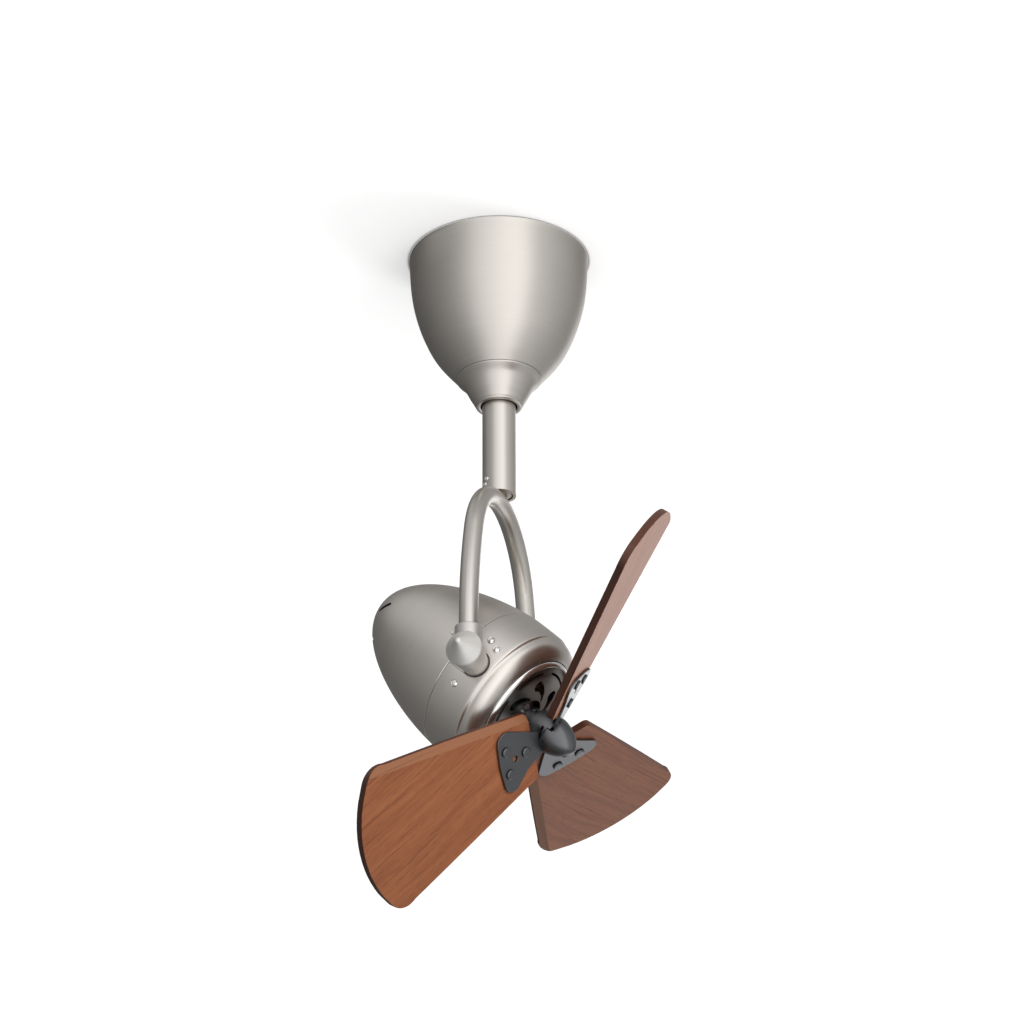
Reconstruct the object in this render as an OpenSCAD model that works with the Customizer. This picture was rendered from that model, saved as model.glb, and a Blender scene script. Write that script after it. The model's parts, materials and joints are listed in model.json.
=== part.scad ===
// Single-head ceiling fan with a tilting, swivelling motor head.
// Origin: centre of the canopy's ceiling face. +Z is up, the head tilts about X
// and faces -Y, turned down by head_tilt. All sizes are in millimetres.

/* [Canopy and collar] */
// Radius of the canopy where it meets the ceiling
canopy_r = 76.2; // [72:0.2:84]
// Depth of the canopy from the ceiling to the collar joint
canopy_depth = 113.4; // [108:0.2:124]
// Radius of the joint between canopy and collar
collar_r = 35.8; // [33:0.2:40]
// Length of the flared collar below the canopy
collar_len = 27; // [24:0.5:36]
// Radius of the collar's lip
lip_r = 19.6; // [18.5:0.1:22]
// Sheet thickness of the canopy
canopy_wall = 1.4; // [0.8:0.1:2.4]

/* [Stem] */
// Outer radius of the stem tube
stem_r = 14; // [13:0.1:14.5]
// Wall of the stem tube
stem_wall = 2.5; // [1.5:0.1:3.5]
// Drop from the ceiling to the stem's cut lower end
stem_drop = 222.7; // [205:0.5:280]
// Running clearance of the stem in its bushes, on radius
run_gap = 0.05; // [0.02:0.01:0.1]

/* [Yoke] */
// Radius of the bent yoke tube
yoke_tube_r = 7.8; // [6.5:0.1:9]
// Wall of the yoke tube
yoke_wall = 1.6; // [1:0.1:2.5]
// Half the distance between the two legs
leg_x = 84.6; // [83:0.2:95]
// Bend radius of the crown
crown_r = 74; // [68:0.5:78]
// Angle of the crown bend on each side
crown_sweep = 73; // [68:0.5:78]
// Distance from the stem's end down to the pivot axis
pivot_below_stem = 177.5; // [172:0.5:210]

/* [Knuckles] */
// Radius of the knuckle's barrel at its cap
barrel_r = 14.7; // [13:0.1:16]
// Half the distance between the two cap rims
cap_x = 96.3; // [94:0.1:104]
// Height of the conical cap
cap_h = 18; // [8:0.5:24]
// Radius of the pivot bolt's shank
pivot_r = 5; // [4:0.1:6]
// Thickness of the friction washer at each pivot
friction_t = 1.2; // [0.6:0.1:2]

/* [Motor head] */
// Angle of the head's axis below the horizontal
head_tilt = 42.8; // [0:0.1:90]
// Largest radius of the head
head_r = 65.5; // [64:0.1:72]
// Distance from the pivot axis back to the rear tip
rear_len = 132.7; // [125:0.5:150]
// Distance from the pivot axis back to the shell joint
seam_back = 20; // [18:0.5:24]
// Distance from the pivot axis forward to the front shell's shoulder
shoulder_z = 15; // [12:0.5:17]
// Wall of both shells
shell_wall = 1.8; // [1.2:0.1:2.4]
// Outer radius of the bright front ring
ring_r = 49.4; // [47:0.1:52]
// Distance from the pivot axis forward to the ring's outer edge
ring_z = 28.3; // [26:0.1:31]
// Number of swirl vents in the front plate
swirl_count = 6; // [3:1:8]
// Number of vent slots round the rear shell
rear_slot_count = 6; // [4:1:8]

/* [Fan] */
// Radius swept by the blade tips
sweep_r = 203.2; // [180:0.2:230]
// Number of blades
blade_count = 3; // [3:1:3]
// Pitch of the blades
blade_pitch = 20.8; // [16:0.1:24]
// Thickness of a blade
blade_t = 6; // [4:0.1:7]
// Half width of a blade at its root
root_half = 29; // [26:0.5:33]
// Half width of a blade where its tip corner starts
tip_half = 63.5; // [55:0.5:68]
// Distance from the pivot axis forward to the blades' front faces
fan_z = 57.5; // [55:0.1:60]
// Turn of the first blade about the head's axis
fan_phase = 239; // [0:0.1:360]
// Thickness of a blade iron
iron_t = 2.2; // [1.5:0.1:3]
// Radius of the spinner's base
spinner_r = 15.6; // [14.5:0.1:18]
// Length of the spinner
spinner_len = 25; // [18:0.5:32]

/* [Swivel drive] */
// Gear module of the swivel drive
gear_module = 1; // [0.9:0.05:1.1]
// Teeth of the full circle that the swivel sector is cut from
gear_teeth = 60; // [60:1:60]
// Teeth of the drive pinion
pinion_teeth = 12; // [12:1:12]
// Thickness of the swivel sector
gear_t = 6; // [4:0.5:8]

/* [Hidden] */
$fn = 96;

nickel = [0.66, 0.64, 0.61];
bright_nickel = [0.86, 0.85, 0.83];
pewter = [0.33, 0.32, 0.30];
charcoal = [0.24, 0.25, 0.27];
steel = [0.7, 0.71, 0.72];
zinc = [0.78, 0.78, 0.74];
brass = [0.8, 0.66, 0.35];
nylon = [0.92, 0.91, 0.86];
copper = [0.72, 0.42, 0.22];
black_plastic = [0.09, 0.09, 0.1];
mahogany = [0.52, 0.31, 0.2];

// Stack inside the canopy, measured down from the ceiling
bracket_t = 2.6;
bracket_len = 132;
bracket_w = 38;
bracket_slot_spacing = 89;
bracket_slot_r = 2.6;
bracket_slot_len = 16;
plate_top = -38;
plate_t = 3;
plate_bottom = plate_top - plate_t;
plate_r = 60;
pillar_x = 50;
pillar_y = 12;
pillar_r = 4;
pillar_bolt_r = 2;
capacitor_out = 56;
capacitor_half = 7.5;
capacitor_len = 30;
capacitor_h = 26;

tube_r = 20;
bush_wall = 2;
tube_bore = stem_r + run_gap + bush_wall;
bush_len = 14;
seat_deep = 11;
tube_bottom = -canopy_depth - seat_deep;
neck_r = tube_r + 3;

race_t = 2;
ball_r = 2;
ball_count = 16;
ball_ring_r = tube_bore + 5;
race_in_r = stem_r + 1;
race_out_r = ball_ring_r + 5;
race_rise = 0.5;
race_low_top = plate_top + race_t;
ball_z = race_low_top - race_rise + ball_r;
race_up_bottom = ball_z + ball_r - race_rise;
race_up_top = race_up_bottom + race_t;

flange_t = 3;
flange_top = race_up_top + flange_t;
sleeve_r = stem_r + 5;
sleeve_top = flange_top + gear_t + 8;
cross_pin_r = 2;
cross_pin_z = sleeve_top - 4;
stem_top = sleeve_top + 2;

gear_pitch_r = gear_module * gear_teeth / 2;
pinion_pitch_r = gear_module * pinion_teeth / 2;
gear_centres = gear_pitch_r + pinion_pitch_r;
sector_half = 63;
swivel_limit = 45;
post_r = 3;
post_orbit = gear_pitch_r + 0.5;
post_angle = sector_half + swivel_limit + asin(post_r / post_orbit) + 1.5;
pinion_shaft_r = 2.5;
can_r = 21;
can_h = 18;
can_y = tube_r + 2 + can_r;
tab_x = can_r + 4;

// Yoke arch: crown bend, haunch bends and straight legs, all tangent
arch_top = -stem_drop - yoke_tube_r + 0.5;
pivot_z = -stem_drop - pivot_below_stem;
haunch_r = (leg_x - crown_r * sin(crown_sweep)) / (1 - sin(crown_sweep));
haunch_x = (crown_r - haunch_r) * sin(crown_sweep);
haunch_z = arch_top - crown_r + (crown_r - haunch_r) * cos(crown_sweep);
leg_end = pivot_z + 12;
plug_t = 15;
plug_edge = 1.3;
plug_foot = -stem_drop + 0.8;
nipple_r = 4;

// Pivots
boss_room = 5.5;
boss_x = head_r - boss_room;
barrel_in_x = boss_x + friction_t;
barrel_in_r = barrel_r - 4.9;
socket_r = yoke_tube_r + 3.2;
socket_h = 23.4;
socket_edge = 0.8;
bolt_head_r = 8;
bolt_head_t = 5;
bolt_head_x = cap_x - 8;
spring_t = 1.2;
knuckle_screw_z = pivot_z + 20;
screw_seat_y = socket_r - 0.1;
knuckle_head_h = 4.2;

// Head shells, as radius against distance along the head's axis
belt_z = -10.4;
rear_power = 1.62;
rear_round = 2.11;
notch_half = barrel_in_r + 1.6;
notch_gap = 0.3;
front_lip = ring_z;
plate_z = 30;
plate_disc_t = 1.2;
plate_disc_r = ring_r - 3.8;

head_reach = head_r + 14.5;
carrier_room = 9.5;
carrier_wall = 6;
carrier_r = head_r - carrier_room;
carrier_in = carrier_r - carrier_wall;
carrier_half = 10;
stud_edge = 4.5;
stud_orbit = carrier_r - stud_edge;
stud_r = 2;
stator_room = 6;
stator_r = carrier_in - stator_room;
stator_half = 11;
stator_wide = 19.5;
bore_r = stator_r - stator_wide;
stator_slot_at = stator_r - 11;
plate_vent_at = carrier_in - 21;
air_gap = 0.5;
winding_h = 5.5;
winding_in = bore_r + 3.5;
winding_w = 11;
front_plate_z = 20;
rear_plate_z = -35;
end_plate_t = 3;
shaft_r = 4;
bush_r = 8;

hub_r = 13;
hub_back = fan_z - 15;
hub_front = fan_z + 3.2;
iron_len = 58;
blade_root = 20;
side_bow = 2;
tip_corner = 17;
tip_arc_r = 102;
rivet_head_r = 4.2;
rivet_far = 50;
rivet_near = 30.3;
rivet_side = 10.2;
iron_hole_x = 42;

// ---------- shared shapes ----------

// Tube between two heights
module ring(r_out, r_in, z0, z1) {
    difference() {
        translate([0, 0, z0]) cylinder(r = r_out, h = z1 - z0);
        translate([0, 0, z0 - 1]) cylinder(r = r_in, h = z1 - z0 + 2);
    }
}

// Solid round bar between two heights
module bar(r, z0, z1) {
    translate([0, 0, z0]) cylinder(r = r, h = z1 - z0);
}

// Place children in the head's frame: +Z runs forward along the head's axis
module in_head() {
    translate([0, 0, pivot_z]) rotate([90 + head_tilt, 0, 0]) children();
}

// Place children in a blade's frame: +X outwards, +Z to the blade's front
module in_blade(i) {
    in_head() rotate([0, 0, fan_phase + 360 / blade_count * i]) translate([0, 0, fan_z])
        rotate([blade_pitch, 0, 0]) children();
}

// Points of a polygon with each corner rounded: corners are [x, y, radius]
function unit(v) = v / norm(v);
function corner_arc(a, b, c, r, steps) =
    let (u = unit([a.x - b.x, a.y - b.y]), v = unit([c.x - b.x, c.y - b.y]),
         half = acos(u * v) / 2, reach = r / tan(half),
         mid = [b.x, b.y] + unit(u + v) * r / sin(half),
         p = [b.x, b.y] + u * reach - mid, q = [b.x, b.y] + v * reach - mid,
         a0 = atan2(p.y, p.x), turn = atan2(p.x * q.y - p.y * q.x, p * q))
    [for (i = [0:steps]) mid + r * [cos(a0 + turn * i / steps), sin(a0 + turn * i / steps)]];
function rounded(corners, steps = 6) =
    let (n = len(corners))
    [for (i = [0:n - 1])
        let (b = corners[i])
        if (b.z > 0)
            each corner_arc(corners[(i + n - 1) % n], b, corners[(i + 1) % n], b.z, steps)
        else [b.x, b.y]];

// Involute gear tooth flank as seen from the gear's centre
function involute(base, r) = let (t = sqrt(max(0, pow(r / base, 2) - 1))) t * 180 / PI - atan(t);
function flank(base, r0, r1, half, steps) =
    [for (i = [0:steps]) let (r = r0 + (r1 - r0) * i / steps, a = half - involute(base, max(r, base)))
        [r, a]];
module gear_profile(teeth, first, last, backlash) {
    pitch = gear_module * teeth / 2;
    base = pitch * cos(20);
    root = pitch - 1.25 * gear_module;
    outer = pitch + gear_module;
    half = 90 / teeth + involute(base, pitch) - backlash / pitch * 180 / PI / 2;
    for (k = [first:last]) rotate(360 / teeth * k) {
        side = flank(base, max(root, base), outer, half, 5);
        polygon(concat(
            [[root - 1, 0], (root - 0.2) * [cos(half + 1), -sin(half + 1)]],
            [for (p = side) p[0] * [cos(p[1]), -sin(p[1])]],
            [for (i = [len(side) - 1:-1:0]) side[i][0] * [cos(side[i][1]), sin(side[i][1])]],
            [(root - 0.2) * [cos(half + 1), sin(half + 1)]]));
    }
}

// ---------- ceiling side ----------

module ceiling_bracket() color(steel) {
    difference() {
        union() {
            translate([-bracket_len / 2 + bracket_w / 2, -bracket_w / 2, -bracket_t])
                cube([bracket_len - bracket_w, bracket_w, bracket_t]);
            for (s = [-1, 1]) translate([s * (bracket_len - bracket_w) / 2, 0, -bracket_t])
                cylinder(r = bracket_w / 2, h = bracket_t);
        }
        for (s = [-1, 1]) {
            reach = bracket_slot_len / 2 - bracket_slot_r;
            for (e = [-1, 1]) translate([s * bracket_slot_spacing / 2 + e * reach, 0, -bracket_t - 1])
                cylinder(r = bracket_slot_r, h = bracket_t + 2);
            translate([s * bracket_slot_spacing / 2 - reach, -bracket_slot_r, -bracket_t - 1])
                cube([2 * reach, 2 * bracket_slot_r, bracket_t + 2]);
            for (t = [-1, 1]) translate([s * pillar_x, t * pillar_y, -bracket_t - 1])
                cylinder(r = pillar_bolt_r + 0.2, h = bracket_t + 2);
        }
        translate([0, 0, -bracket_t - 1]) cylinder(r = 12, h = bracket_t + 2);
    }
}

module at_pillars() {
    for (s = [-1, 1], t = [-1, 1]) translate([s * pillar_x, t * pillar_y, 0]) children();
}

module bracket_pillars() color(zinc) {
    at_pillars() ring(pillar_r, pillar_bolt_r, plate_top, -bracket_t);
}

module pillar_screws() color(steel) {
    at_pillars() {
        bar(pillar_bolt_r, plate_bottom - 6, -0.6);
        translate([0, 0, plate_bottom - 3.2]) cylinder(r = 3.8, h = 3.2, $fn = 6);
    }
}

module drive_plate() color(zinc) {
    difference() {
        bar(plate_r, plate_bottom, plate_top);
        bar(stem_r + 1, plate_bottom - 1, plate_top + 1);
        at_pillars() bar(pillar_bolt_r + 0.2, plate_bottom - 1, plate_top + 1);
        translate([0, gear_centres, 0]) bar(5, plate_bottom - 1, plate_top + 1);
        at_motor_screws() bar(1.7, plate_bottom - 1, plate_top + 1);
        for (a = [200:35:340]) rotate([0, 0, a]) translate([44, 0, 0]) bar(5, plate_bottom - 1, plate_top + 1);
    }
}

module guide_tube() color(zinc) {
    difference() {
        union() {
            bar(tube_r, tube_bottom, plate_bottom);
            bar(tube_r + 1.5, plate_bottom - 5, plate_bottom);
        }
        bar(tube_bore, tube_bottom - 1, plate_bottom + 1);
    }
}

module stem_bushes() color(nylon) for (z = [plate_bottom - bush_len, tube_bottom])
    ring(tube_bore, stem_r + run_gap, z, z + bush_len);

// Grooved washer of the thrust bearing, groove facing up
module thrust_race() {
    rotate_extrude() difference() {
        translate([race_in_r, 0]) square([race_out_r - race_in_r, race_t]);
        translate([ball_ring_r, race_t - race_rise + ball_r]) circle(r = ball_r + 0.02, $fn = 48);
    }
}
module thrust_race_lower() color(steel) translate([0, 0, plate_top]) thrust_race();
module thrust_race_upper() color(steel) translate([0, 0, race_up_top]) mirror([0, 0, 1]) thrust_race();

module at_balls() {
    for (i = [0:ball_count - 1]) rotate([0, 0, 360 / ball_count * i]) translate([ball_ring_r, 0, ball_z])
        children();
}
module thrust_balls() color(steel) at_balls() sphere(r = ball_r, $fn = 48);
module thrust_cage() color(brass) difference() {
    ring(ball_ring_r + 3.2, ball_ring_r - 3.2, ball_z - 0.5, ball_z + 0.5);
    at_balls() translate([0, 0, -1]) cylinder(r = ball_r + 0.2, h = 2);
}

module at_motor_screws() {
    for (s = [-1, 1]) translate([s * tab_x, can_y, 0]) children();
}

module swivel_motor() color(steel) difference() {
    union() {
        translate([0, can_y, 0]) bar(can_r, plate_bottom - can_h, plate_bottom);
        translate([0, gear_centres, 0]) bar(4.8, plate_bottom, plate_top + 1);
        translate([-tab_x - 4, can_y - 4, plate_bottom - 1.5]) cube([2 * tab_x + 8, 8, 1.5]);
    }
    translate([0, gear_centres, 0]) bar(pinion_shaft_r + run_gap, plate_bottom - can_h + 3, plate_top + 2);
    at_motor_screws() bar(1.5, plate_bottom - 3, plate_bottom + 1);
}

module swivel_motor_screws() color(zinc) at_motor_screws() {
    bar(1.5, plate_bottom - 4, plate_top);
    bar(3, plate_top, plate_top + 2);
}

module stop_posts() color(black_plastic) {
    for (s = [-1, 1]) rotate([0, 0, 90 + s * post_angle]) translate([post_orbit, 0, 0])
        bar(post_r, plate_top, flange_top + gear_t);
}

module run_capacitor() color(black_plastic) difference() {
    translate([-capacitor_out, -capacitor_half, plate_bottom - capacitor_h])
        cube([capacitor_len, 2 * capacitor_half, capacitor_h]);
    for (t = [-1, 1]) translate([-capacitor_out - 1, t * capacitor_half - 1.5, plate_bottom - capacitor_h - 1])
        cube([capacitor_len + 2, 3, 3]);
}

module terminal_block() color(nylon) difference() {
    translate([26, -11, plate_bottom - 13]) cube([20, 22, 13]);
    for (i = [-1:1]) translate([0, i * 7, 0]) {
        translate([36, 0, plate_bottom - 14]) cylinder(r = 2, h = 7);
        translate([25, -2, plate_bottom - 7]) cube([22, 4, 4]);
    }
}

// Canopy outline: share of its depth against share of the way from collar to rim
canopy_steps = [[0, 1], [0.132, 0.978], [0.265, 0.948], [0.397, 0.888], [0.529, 0.79], [0.635, 0.682],
    [0.741, 0.548], [0.829, 0.397], [0.917, 0.202], [1, 0]];
function canopy_out(inset) = [for (p = canopy_steps)
    [collar_r + (canopy_r - collar_r) * p[1] - inset, -canopy_depth * p[0] + inset * 0.6 * p[0] * p[0]]];
module canopy() color(nickel) rotate_extrude($fn = 180) difference() {
    polygon(concat(canopy_out(0), [[neck_r, -canopy_depth], [neck_r, 0]]));
    polygon(concat([[canopy_r - canopy_wall, 1]], canopy_out(canopy_wall),
        [[collar_r - 2 * canopy_wall, -canopy_depth + canopy_wall], [0, -canopy_depth + canopy_wall], [0, 1]]));
}

// Collar outline: flared inwards like a trumpet down to a rounded lip
collar_steps = [[0.25, 0.645], [0.42, 0.47], [0.6, 0.32], [0.78, 0.15], [0.9, 0.05]];
module canopy_collar() color(nickel) {
    bottom = -canopy_depth - collar_len;
    lip = 1.6;
    rotate_extrude($fn = 180) difference() {
        union() {
            polygon(concat([[neck_r - 4, -canopy_depth], [collar_r - 0.5, -canopy_depth],
                [collar_r, -canopy_depth - 0.6]],
                [for (p = collar_steps) [lip_r + (collar_r - lip_r) * p[1], -canopy_depth - collar_len * p[0]]],
                [[lip_r, bottom + lip], [lip_r - lip, bottom], [stem_r + 2.4, bottom],
                 [stem_r + 1.1, bottom + 1.2], [stem_r + 1.1, -canopy_depth]]));
        }
        translate([0, tube_bottom]) square([tube_r, canopy_depth]);
    }
}

// ---------- pinion ----------

module drive_pinion() color(brass) translate([0, gear_centres, 0]) difference() {
    translate([0, 0, flange_top]) linear_extrude(gear_t) union() {
        circle(r = pinion_pitch_r - 1.25 * gear_module);
        rotate(-90 + 180 / pinion_teeth) gear_profile(pinion_teeth, 0, pinion_teeth - 1, 0.16);
    }
    bar(pinion_shaft_r, flange_top - 1, flange_top + gear_t + 1);
}

module pinion_shaft() color(steel) translate([0, gear_centres, 0])
    bar(pinion_shaft_r, plate_bottom - can_h + 4, flange_top + gear_t + 1.5);

// ---------- stem and yoke ----------

module plug_screw_axis() {
    for (k = [0, 1]) rotate([0, 0, 140 + 9 * k]) translate([0, 0, -stem_drop + 7.2 + 4.3 * k])
        rotate([0, 90, 0]) children();
}

module stem() color(nickel) difference() {
    bar(stem_r, -stem_drop, stem_top);
    bar(stem_r - stem_wall, -stem_drop - 1, stem_top + 1);
    translate([-stem_r - 1, 0, cross_pin_z]) rotate([0, 90, 0]) cylinder(r = cross_pin_r, h = 2 * stem_r + 2);
    plug_screw_axis() {
        cylinder(r = 1.5, h = stem_r + 1);
        translate([0, 0, stem_r - 0.4]) cylinder(r = 2.4, h = 3);
    }
}

module stem_collar() color(zinc) difference() {
    union() {
        bar(race_out_r, race_up_top, flange_top);
        bar(sleeve_r, flange_top, sleeve_top);
    }
    bar(stem_r, race_up_top - 1, sleeve_top + 1);
    translate([-sleeve_r - 1, 0, cross_pin_z]) rotate([0, 90, 0])
        cylinder(r = cross_pin_r, h = 2 * sleeve_r + 2);
    at_gear_screws() bar(1.5, race_up_top - 1, flange_top + 1);
}

module stem_cross_pin() color(steel) translate([-sleeve_r - 0.5, 0, cross_pin_z]) rotate([0, 90, 0])
    cylinder(r = cross_pin_r, h = 2 * sleeve_r + 1);

module at_gear_screws() {
    for (a = [150, 270, 30]) rotate([0, 0, a]) translate([sleeve_r + 3.4, 0, 0]) children();
}

module swivel_gear() color(nylon) difference() {
    translate([0, 0, flange_top]) linear_extrude(gear_t) difference() {
        union() {
            circle(r = race_out_r + 0.5);
            intersection() {
                circle(r = gear_pitch_r - 1.25 * gear_module);
                far = 2 * gear_pitch_r;
                polygon([[0, 0], far * [sin(sector_half), cos(sector_half)], [far, far], [-far, far],
                    far * [-sin(sector_half), cos(sector_half)]]);
            }
            rotate(90) gear_profile(gear_teeth, -10, 10, 0.16);
        }
        circle(r = sleeve_r);
    }
    at_gear_screws() bar(1.5, flange_top - 1, flange_top + gear_t + 1);
}

module gear_screws() color(steel) at_gear_screws() {
    bar(1.5, race_up_top, flange_top + gear_t);
    bar(2.8, flange_top + gear_t, flange_top + gear_t + 1.8);
}

module stem_plug() color(nickel) difference() {
    rotate_extrude() polygon([[0, plug_foot], [stem_r - stem_wall - plug_edge, plug_foot],
        [stem_r - stem_wall, plug_foot + plug_edge], [stem_r - stem_wall, -stem_drop + plug_t],
        [0, -stem_drop + plug_t]]);
    bend(0, arch_top - crown_r, crown_r, 75, 105, 0);
    bar(nipple_r, -stem_drop - 1, -stem_drop + plug_t + 1);
    plug_screw_axis() cylinder(r = 1.5, h = stem_r + 1);
}

module plug_screws() color(steel) plug_screw_axis() {
    translate([0, 0, 6]) cylinder(r = 1.5, h = stem_r - 5.4);
    translate([0, 0, stem_r - 0.4]) cylinder(r1 = 2.4, r2 = 1.6, h = 1.6);
}

// One stretch of bent round bar in the XZ plane, from angle a0 to a1 about its centre
module bend(centre_x, centre_z, bend_r, a0, a1, r_in) {
    trim = 0.01 / bend_r * 180 / PI;
    translate([centre_x, 0, centre_z]) rotate([90, 0, 0]) rotate([0, 0, a0 + trim])
        rotate_extrude(angle = a1 - a0 - 2 * trim, $fn = 180) translate([bend_r, 0]) difference() {
            circle(r = yoke_tube_r, $fn = 64);
            if (r_in > 0) circle(r = r_in, $fn = 64);
        }
}

// Short sleeve that joins two stretches of the yoke from inside
module joint_sleeve(x, z, lean) translate([x, 0, z]) rotate([0, lean, 0])
    ring(yoke_tube_r - 0.1, yoke_tube_r - yoke_wall - 0.6, -1.5, 1.5);

module yoke() color(nickel) {
    inner = yoke_tube_r - yoke_wall;
    difference() {
        bend(0, arch_top - crown_r, crown_r, 90 - crown_sweep, 90 + crown_sweep, inner);
        bar(nipple_r, -stem_drop - yoke_tube_r, -stem_drop + 5);
    }
    for (s = [0, 1]) mirror([s, 0, 0]) {
        bend(haunch_x, haunch_z, haunch_r, 0, 90 - crown_sweep, inner);
        joint_sleeve(crown_r * sin(crown_sweep), arch_top - crown_r * (1 - cos(crown_sweep)), crown_sweep - 90);
        joint_sleeve(leg_x, haunch_z, 0);
        translate([leg_x, 0, 0]) ring(yoke_tube_r, inner, leg_end, haunch_z - 0.01);
    }
}

// Hollow threaded nipple that ties the yoke to the stem's plug and carries the leads
module yoke_nipple() color(brass) {
    ring(nipple_r, nipple_r - 1.2, -stem_drop - 3, -stem_drop + plug_t + 6);
    difference() {
        translate([0, 0, -stem_drop + plug_t]) cylinder(r = 7.5, h = 3.5, $fn = 6);
        bar(nipple_r, -stem_drop, -stem_drop + plug_t + 5);
    }
}

// Knuckle on the +X side: socket for the leg above, tapered barrel about the pivot axis
module knuckle() {
    difference() {
        union() {
            translate([leg_x, 0, pivot_z]) rotate_extrude() polygon([[0, 0], [socket_r, 0],
                [socket_r, socket_h - socket_edge], [socket_r - socket_edge, socket_h], [0, socket_h]]);
            translate([barrel_in_x, 0, pivot_z]) rotate([0, 90, 0])
                cylinder(r1 = barrel_in_r, r2 = barrel_r, h = cap_x - barrel_in_x);
        }
        translate([leg_x, 0, leg_end]) cylinder(r = yoke_tube_r, h = 40);
        translate([barrel_in_x - 1, 0, pivot_z]) rotate([0, 90, 0])
            cylinder(r = pivot_r + run_gap, h = cap_x);
        translate([bolt_head_x - spring_t - run_gap, 0, pivot_z]) rotate([0, 90, 0])
            cylinder(r = bolt_head_r + 1, h = 20);
        translate([leg_x, 0, knuckle_screw_z]) rotate([-90, 0, 0]) {
            cylinder(r = 1.8, h = 30);
            translate([0, 0, screw_seat_y]) cylinder(r = 3, h = 20);
        }
    }
}
module knuckle_left() color(nickel) mirror([1, 0, 0]) knuckle();
module knuckle_right() color(nickel) knuckle();

module pivot_cap() {
    plug_r = bolt_head_r + 1;
    tip = 2.4;
    translate([0, 0, pivot_z]) rotate([0, 90, 0]) rotate_extrude() polygon([[0, cap_x - 2],
        [plug_r, cap_x - 2], [plug_r, cap_x], [barrel_r, cap_x], [barrel_r - 0.3, cap_x + 0.5],
        [tip, cap_x + cap_h - 1], [tip * 0.5, cap_x + cap_h - 0.25], [0, cap_x + cap_h]]);
}
module pivot_cap_left() color(nickel) mirror([1, 0, 0]) pivot_cap();
module pivot_cap_right() color(nickel) pivot_cap();

module knuckle_screws() color(steel) {
    for (s = [-1, 1]) translate([s * leg_x, 0, knuckle_screw_z]) rotate([-90, 0, 0]) {
        translate([0, 0, yoke_tube_r]) cylinder(r = 1.8, h = screw_seat_y - yoke_tube_r);
        translate([0, 0, screw_seat_y]) cylinder(r1 = 2.3, r2 = 1.6, h = knuckle_head_h);
    }
}

module friction_washers() color(brass) {
    for (s = [-1, 1]) translate([0, 0, pivot_z]) rotate([0, s * 90, 0])
        ring(barrel_in_r - 2.4, pivot_r + run_gap, boss_x + run_gap, barrel_in_x);
}

// ---------- motor head ----------

module pivot_bolts() color(steel) {
    for (s = [-1, 1]) in_head() rotate([0, s * 90, 0]) {
        bar(pivot_r, boss_x - 12, bolt_head_x);
        difference() {
            bar(bolt_head_r, bolt_head_x, bolt_head_x + bolt_head_t);
            translate([0, 0, bolt_head_x + 2]) cylinder(r = 3.5, h = 10, $fn = 6);
        }
    }
}

module disc_springs() color(steel) {
    for (s = [-1, 1]) in_head() rotate([0, s * 90, 0])
        ring(bolt_head_r, pivot_r, bolt_head_x - spring_t, bolt_head_x);
}

module at_studs() {
    for (a = [45:90:315]) rotate([0, 0, a]) translate([stud_orbit + 1.5, 0, 0]) children();
}

module motor_carrier() color(zinc) in_head() difference() {
    union() {
        ring(carrier_r, carrier_in, -carrier_half, carrier_half);
        for (s = [-1, 1]) rotate([0, s * 90, 0]) bar(11, carrier_in + 1.4, boss_x);
        for (p = shell_screw_spots) rotate([0, 0, p[1]]) translate([0, 0, p[0]]) rotate([0, 90, 0])
            bar(4, carrier_in + 1, sqrt(pow(spigot_in, 2) - 16) - 0.02);
    }
    for (s = [-1, 1]) rotate([0, s * 90, 0]) bar(pivot_r, carrier_in - 10, boss_x + 1);
    for (p = shell_screw_spots) rotate([0, 0, p[1]]) translate([0, 0, p[0]]) rotate([0, 90, 0])
        bar(1.5, carrier_in + 2, head_r);
    at_studs() bar(stud_r, -30, 30);
}

// Cast end plate with a hub for the shaft bush and vents between its arms
module end_plate() difference() {
    union() {
        bar(carrier_r, 0, end_plate_t);
        bar(bush_r + 3, -1, 9);
    }
    bar(bush_r, -2, 10);
    at_studs() bar(stud_r, -1, end_plate_t + 1);
    for (a = [0:45:315]) rotate([0, 0, a]) translate([plate_vent_at, 0, 0]) bar(8.5, -1, end_plate_t + 1);
}

module front_bracket() color(zinc) in_head() translate([0, 0, front_plate_z - end_plate_t]) difference() {
    end_plate();
    ring(carrier_r + 1, stud_orbit + 5.5, -1, 20);
}
module rear_bracket() color(zinc) in_head() translate([0, 0, rear_plate_z + end_plate_t])
    mirror([0, 0, 1]) difference() {
    end_plate();
    ring(carrier_r + 1, stud_orbit + 5.5, -1, 20);
}

module motor_studs() color(steel) in_head() at_studs() {
    bar(stud_r, rear_plate_z - 4, front_plate_z);
    translate([0, 0, rear_plate_z - 3]) cylinder(r = 3.6, h = 3, $fn = 6);
    ring(3.6, stud_r, rear_plate_z + end_plate_t, -carrier_half);
    ring(3.6, stud_r, carrier_half, front_plate_z - end_plate_t);
}

module stator_core() color(steel) in_head() difference() {
    union() {
        bar(stator_r, -stator_half, stator_half);
        intersection() {
            bar(carrier_in, -stator_half + 3, stator_half - 3);
            for (a = [45:90:315]) rotate([0, 0, a]) translate([stator_r - 2, -5, -stator_half])
                cube([12, 10, 2 * stator_half]);
        }
    }
    bar(bore_r, -stator_half - 1, stator_half + 1);
    for (a = [0:30:330]) rotate([0, 0, a]) {
        translate([stator_slot_at, 0, 0]) bar(4, -stator_half - 1, stator_half + 1);
        translate([bore_r - 1, -1, -stator_half - 1]) cube([8, 2, 2 * stator_half + 2]);
    }
}

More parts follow.
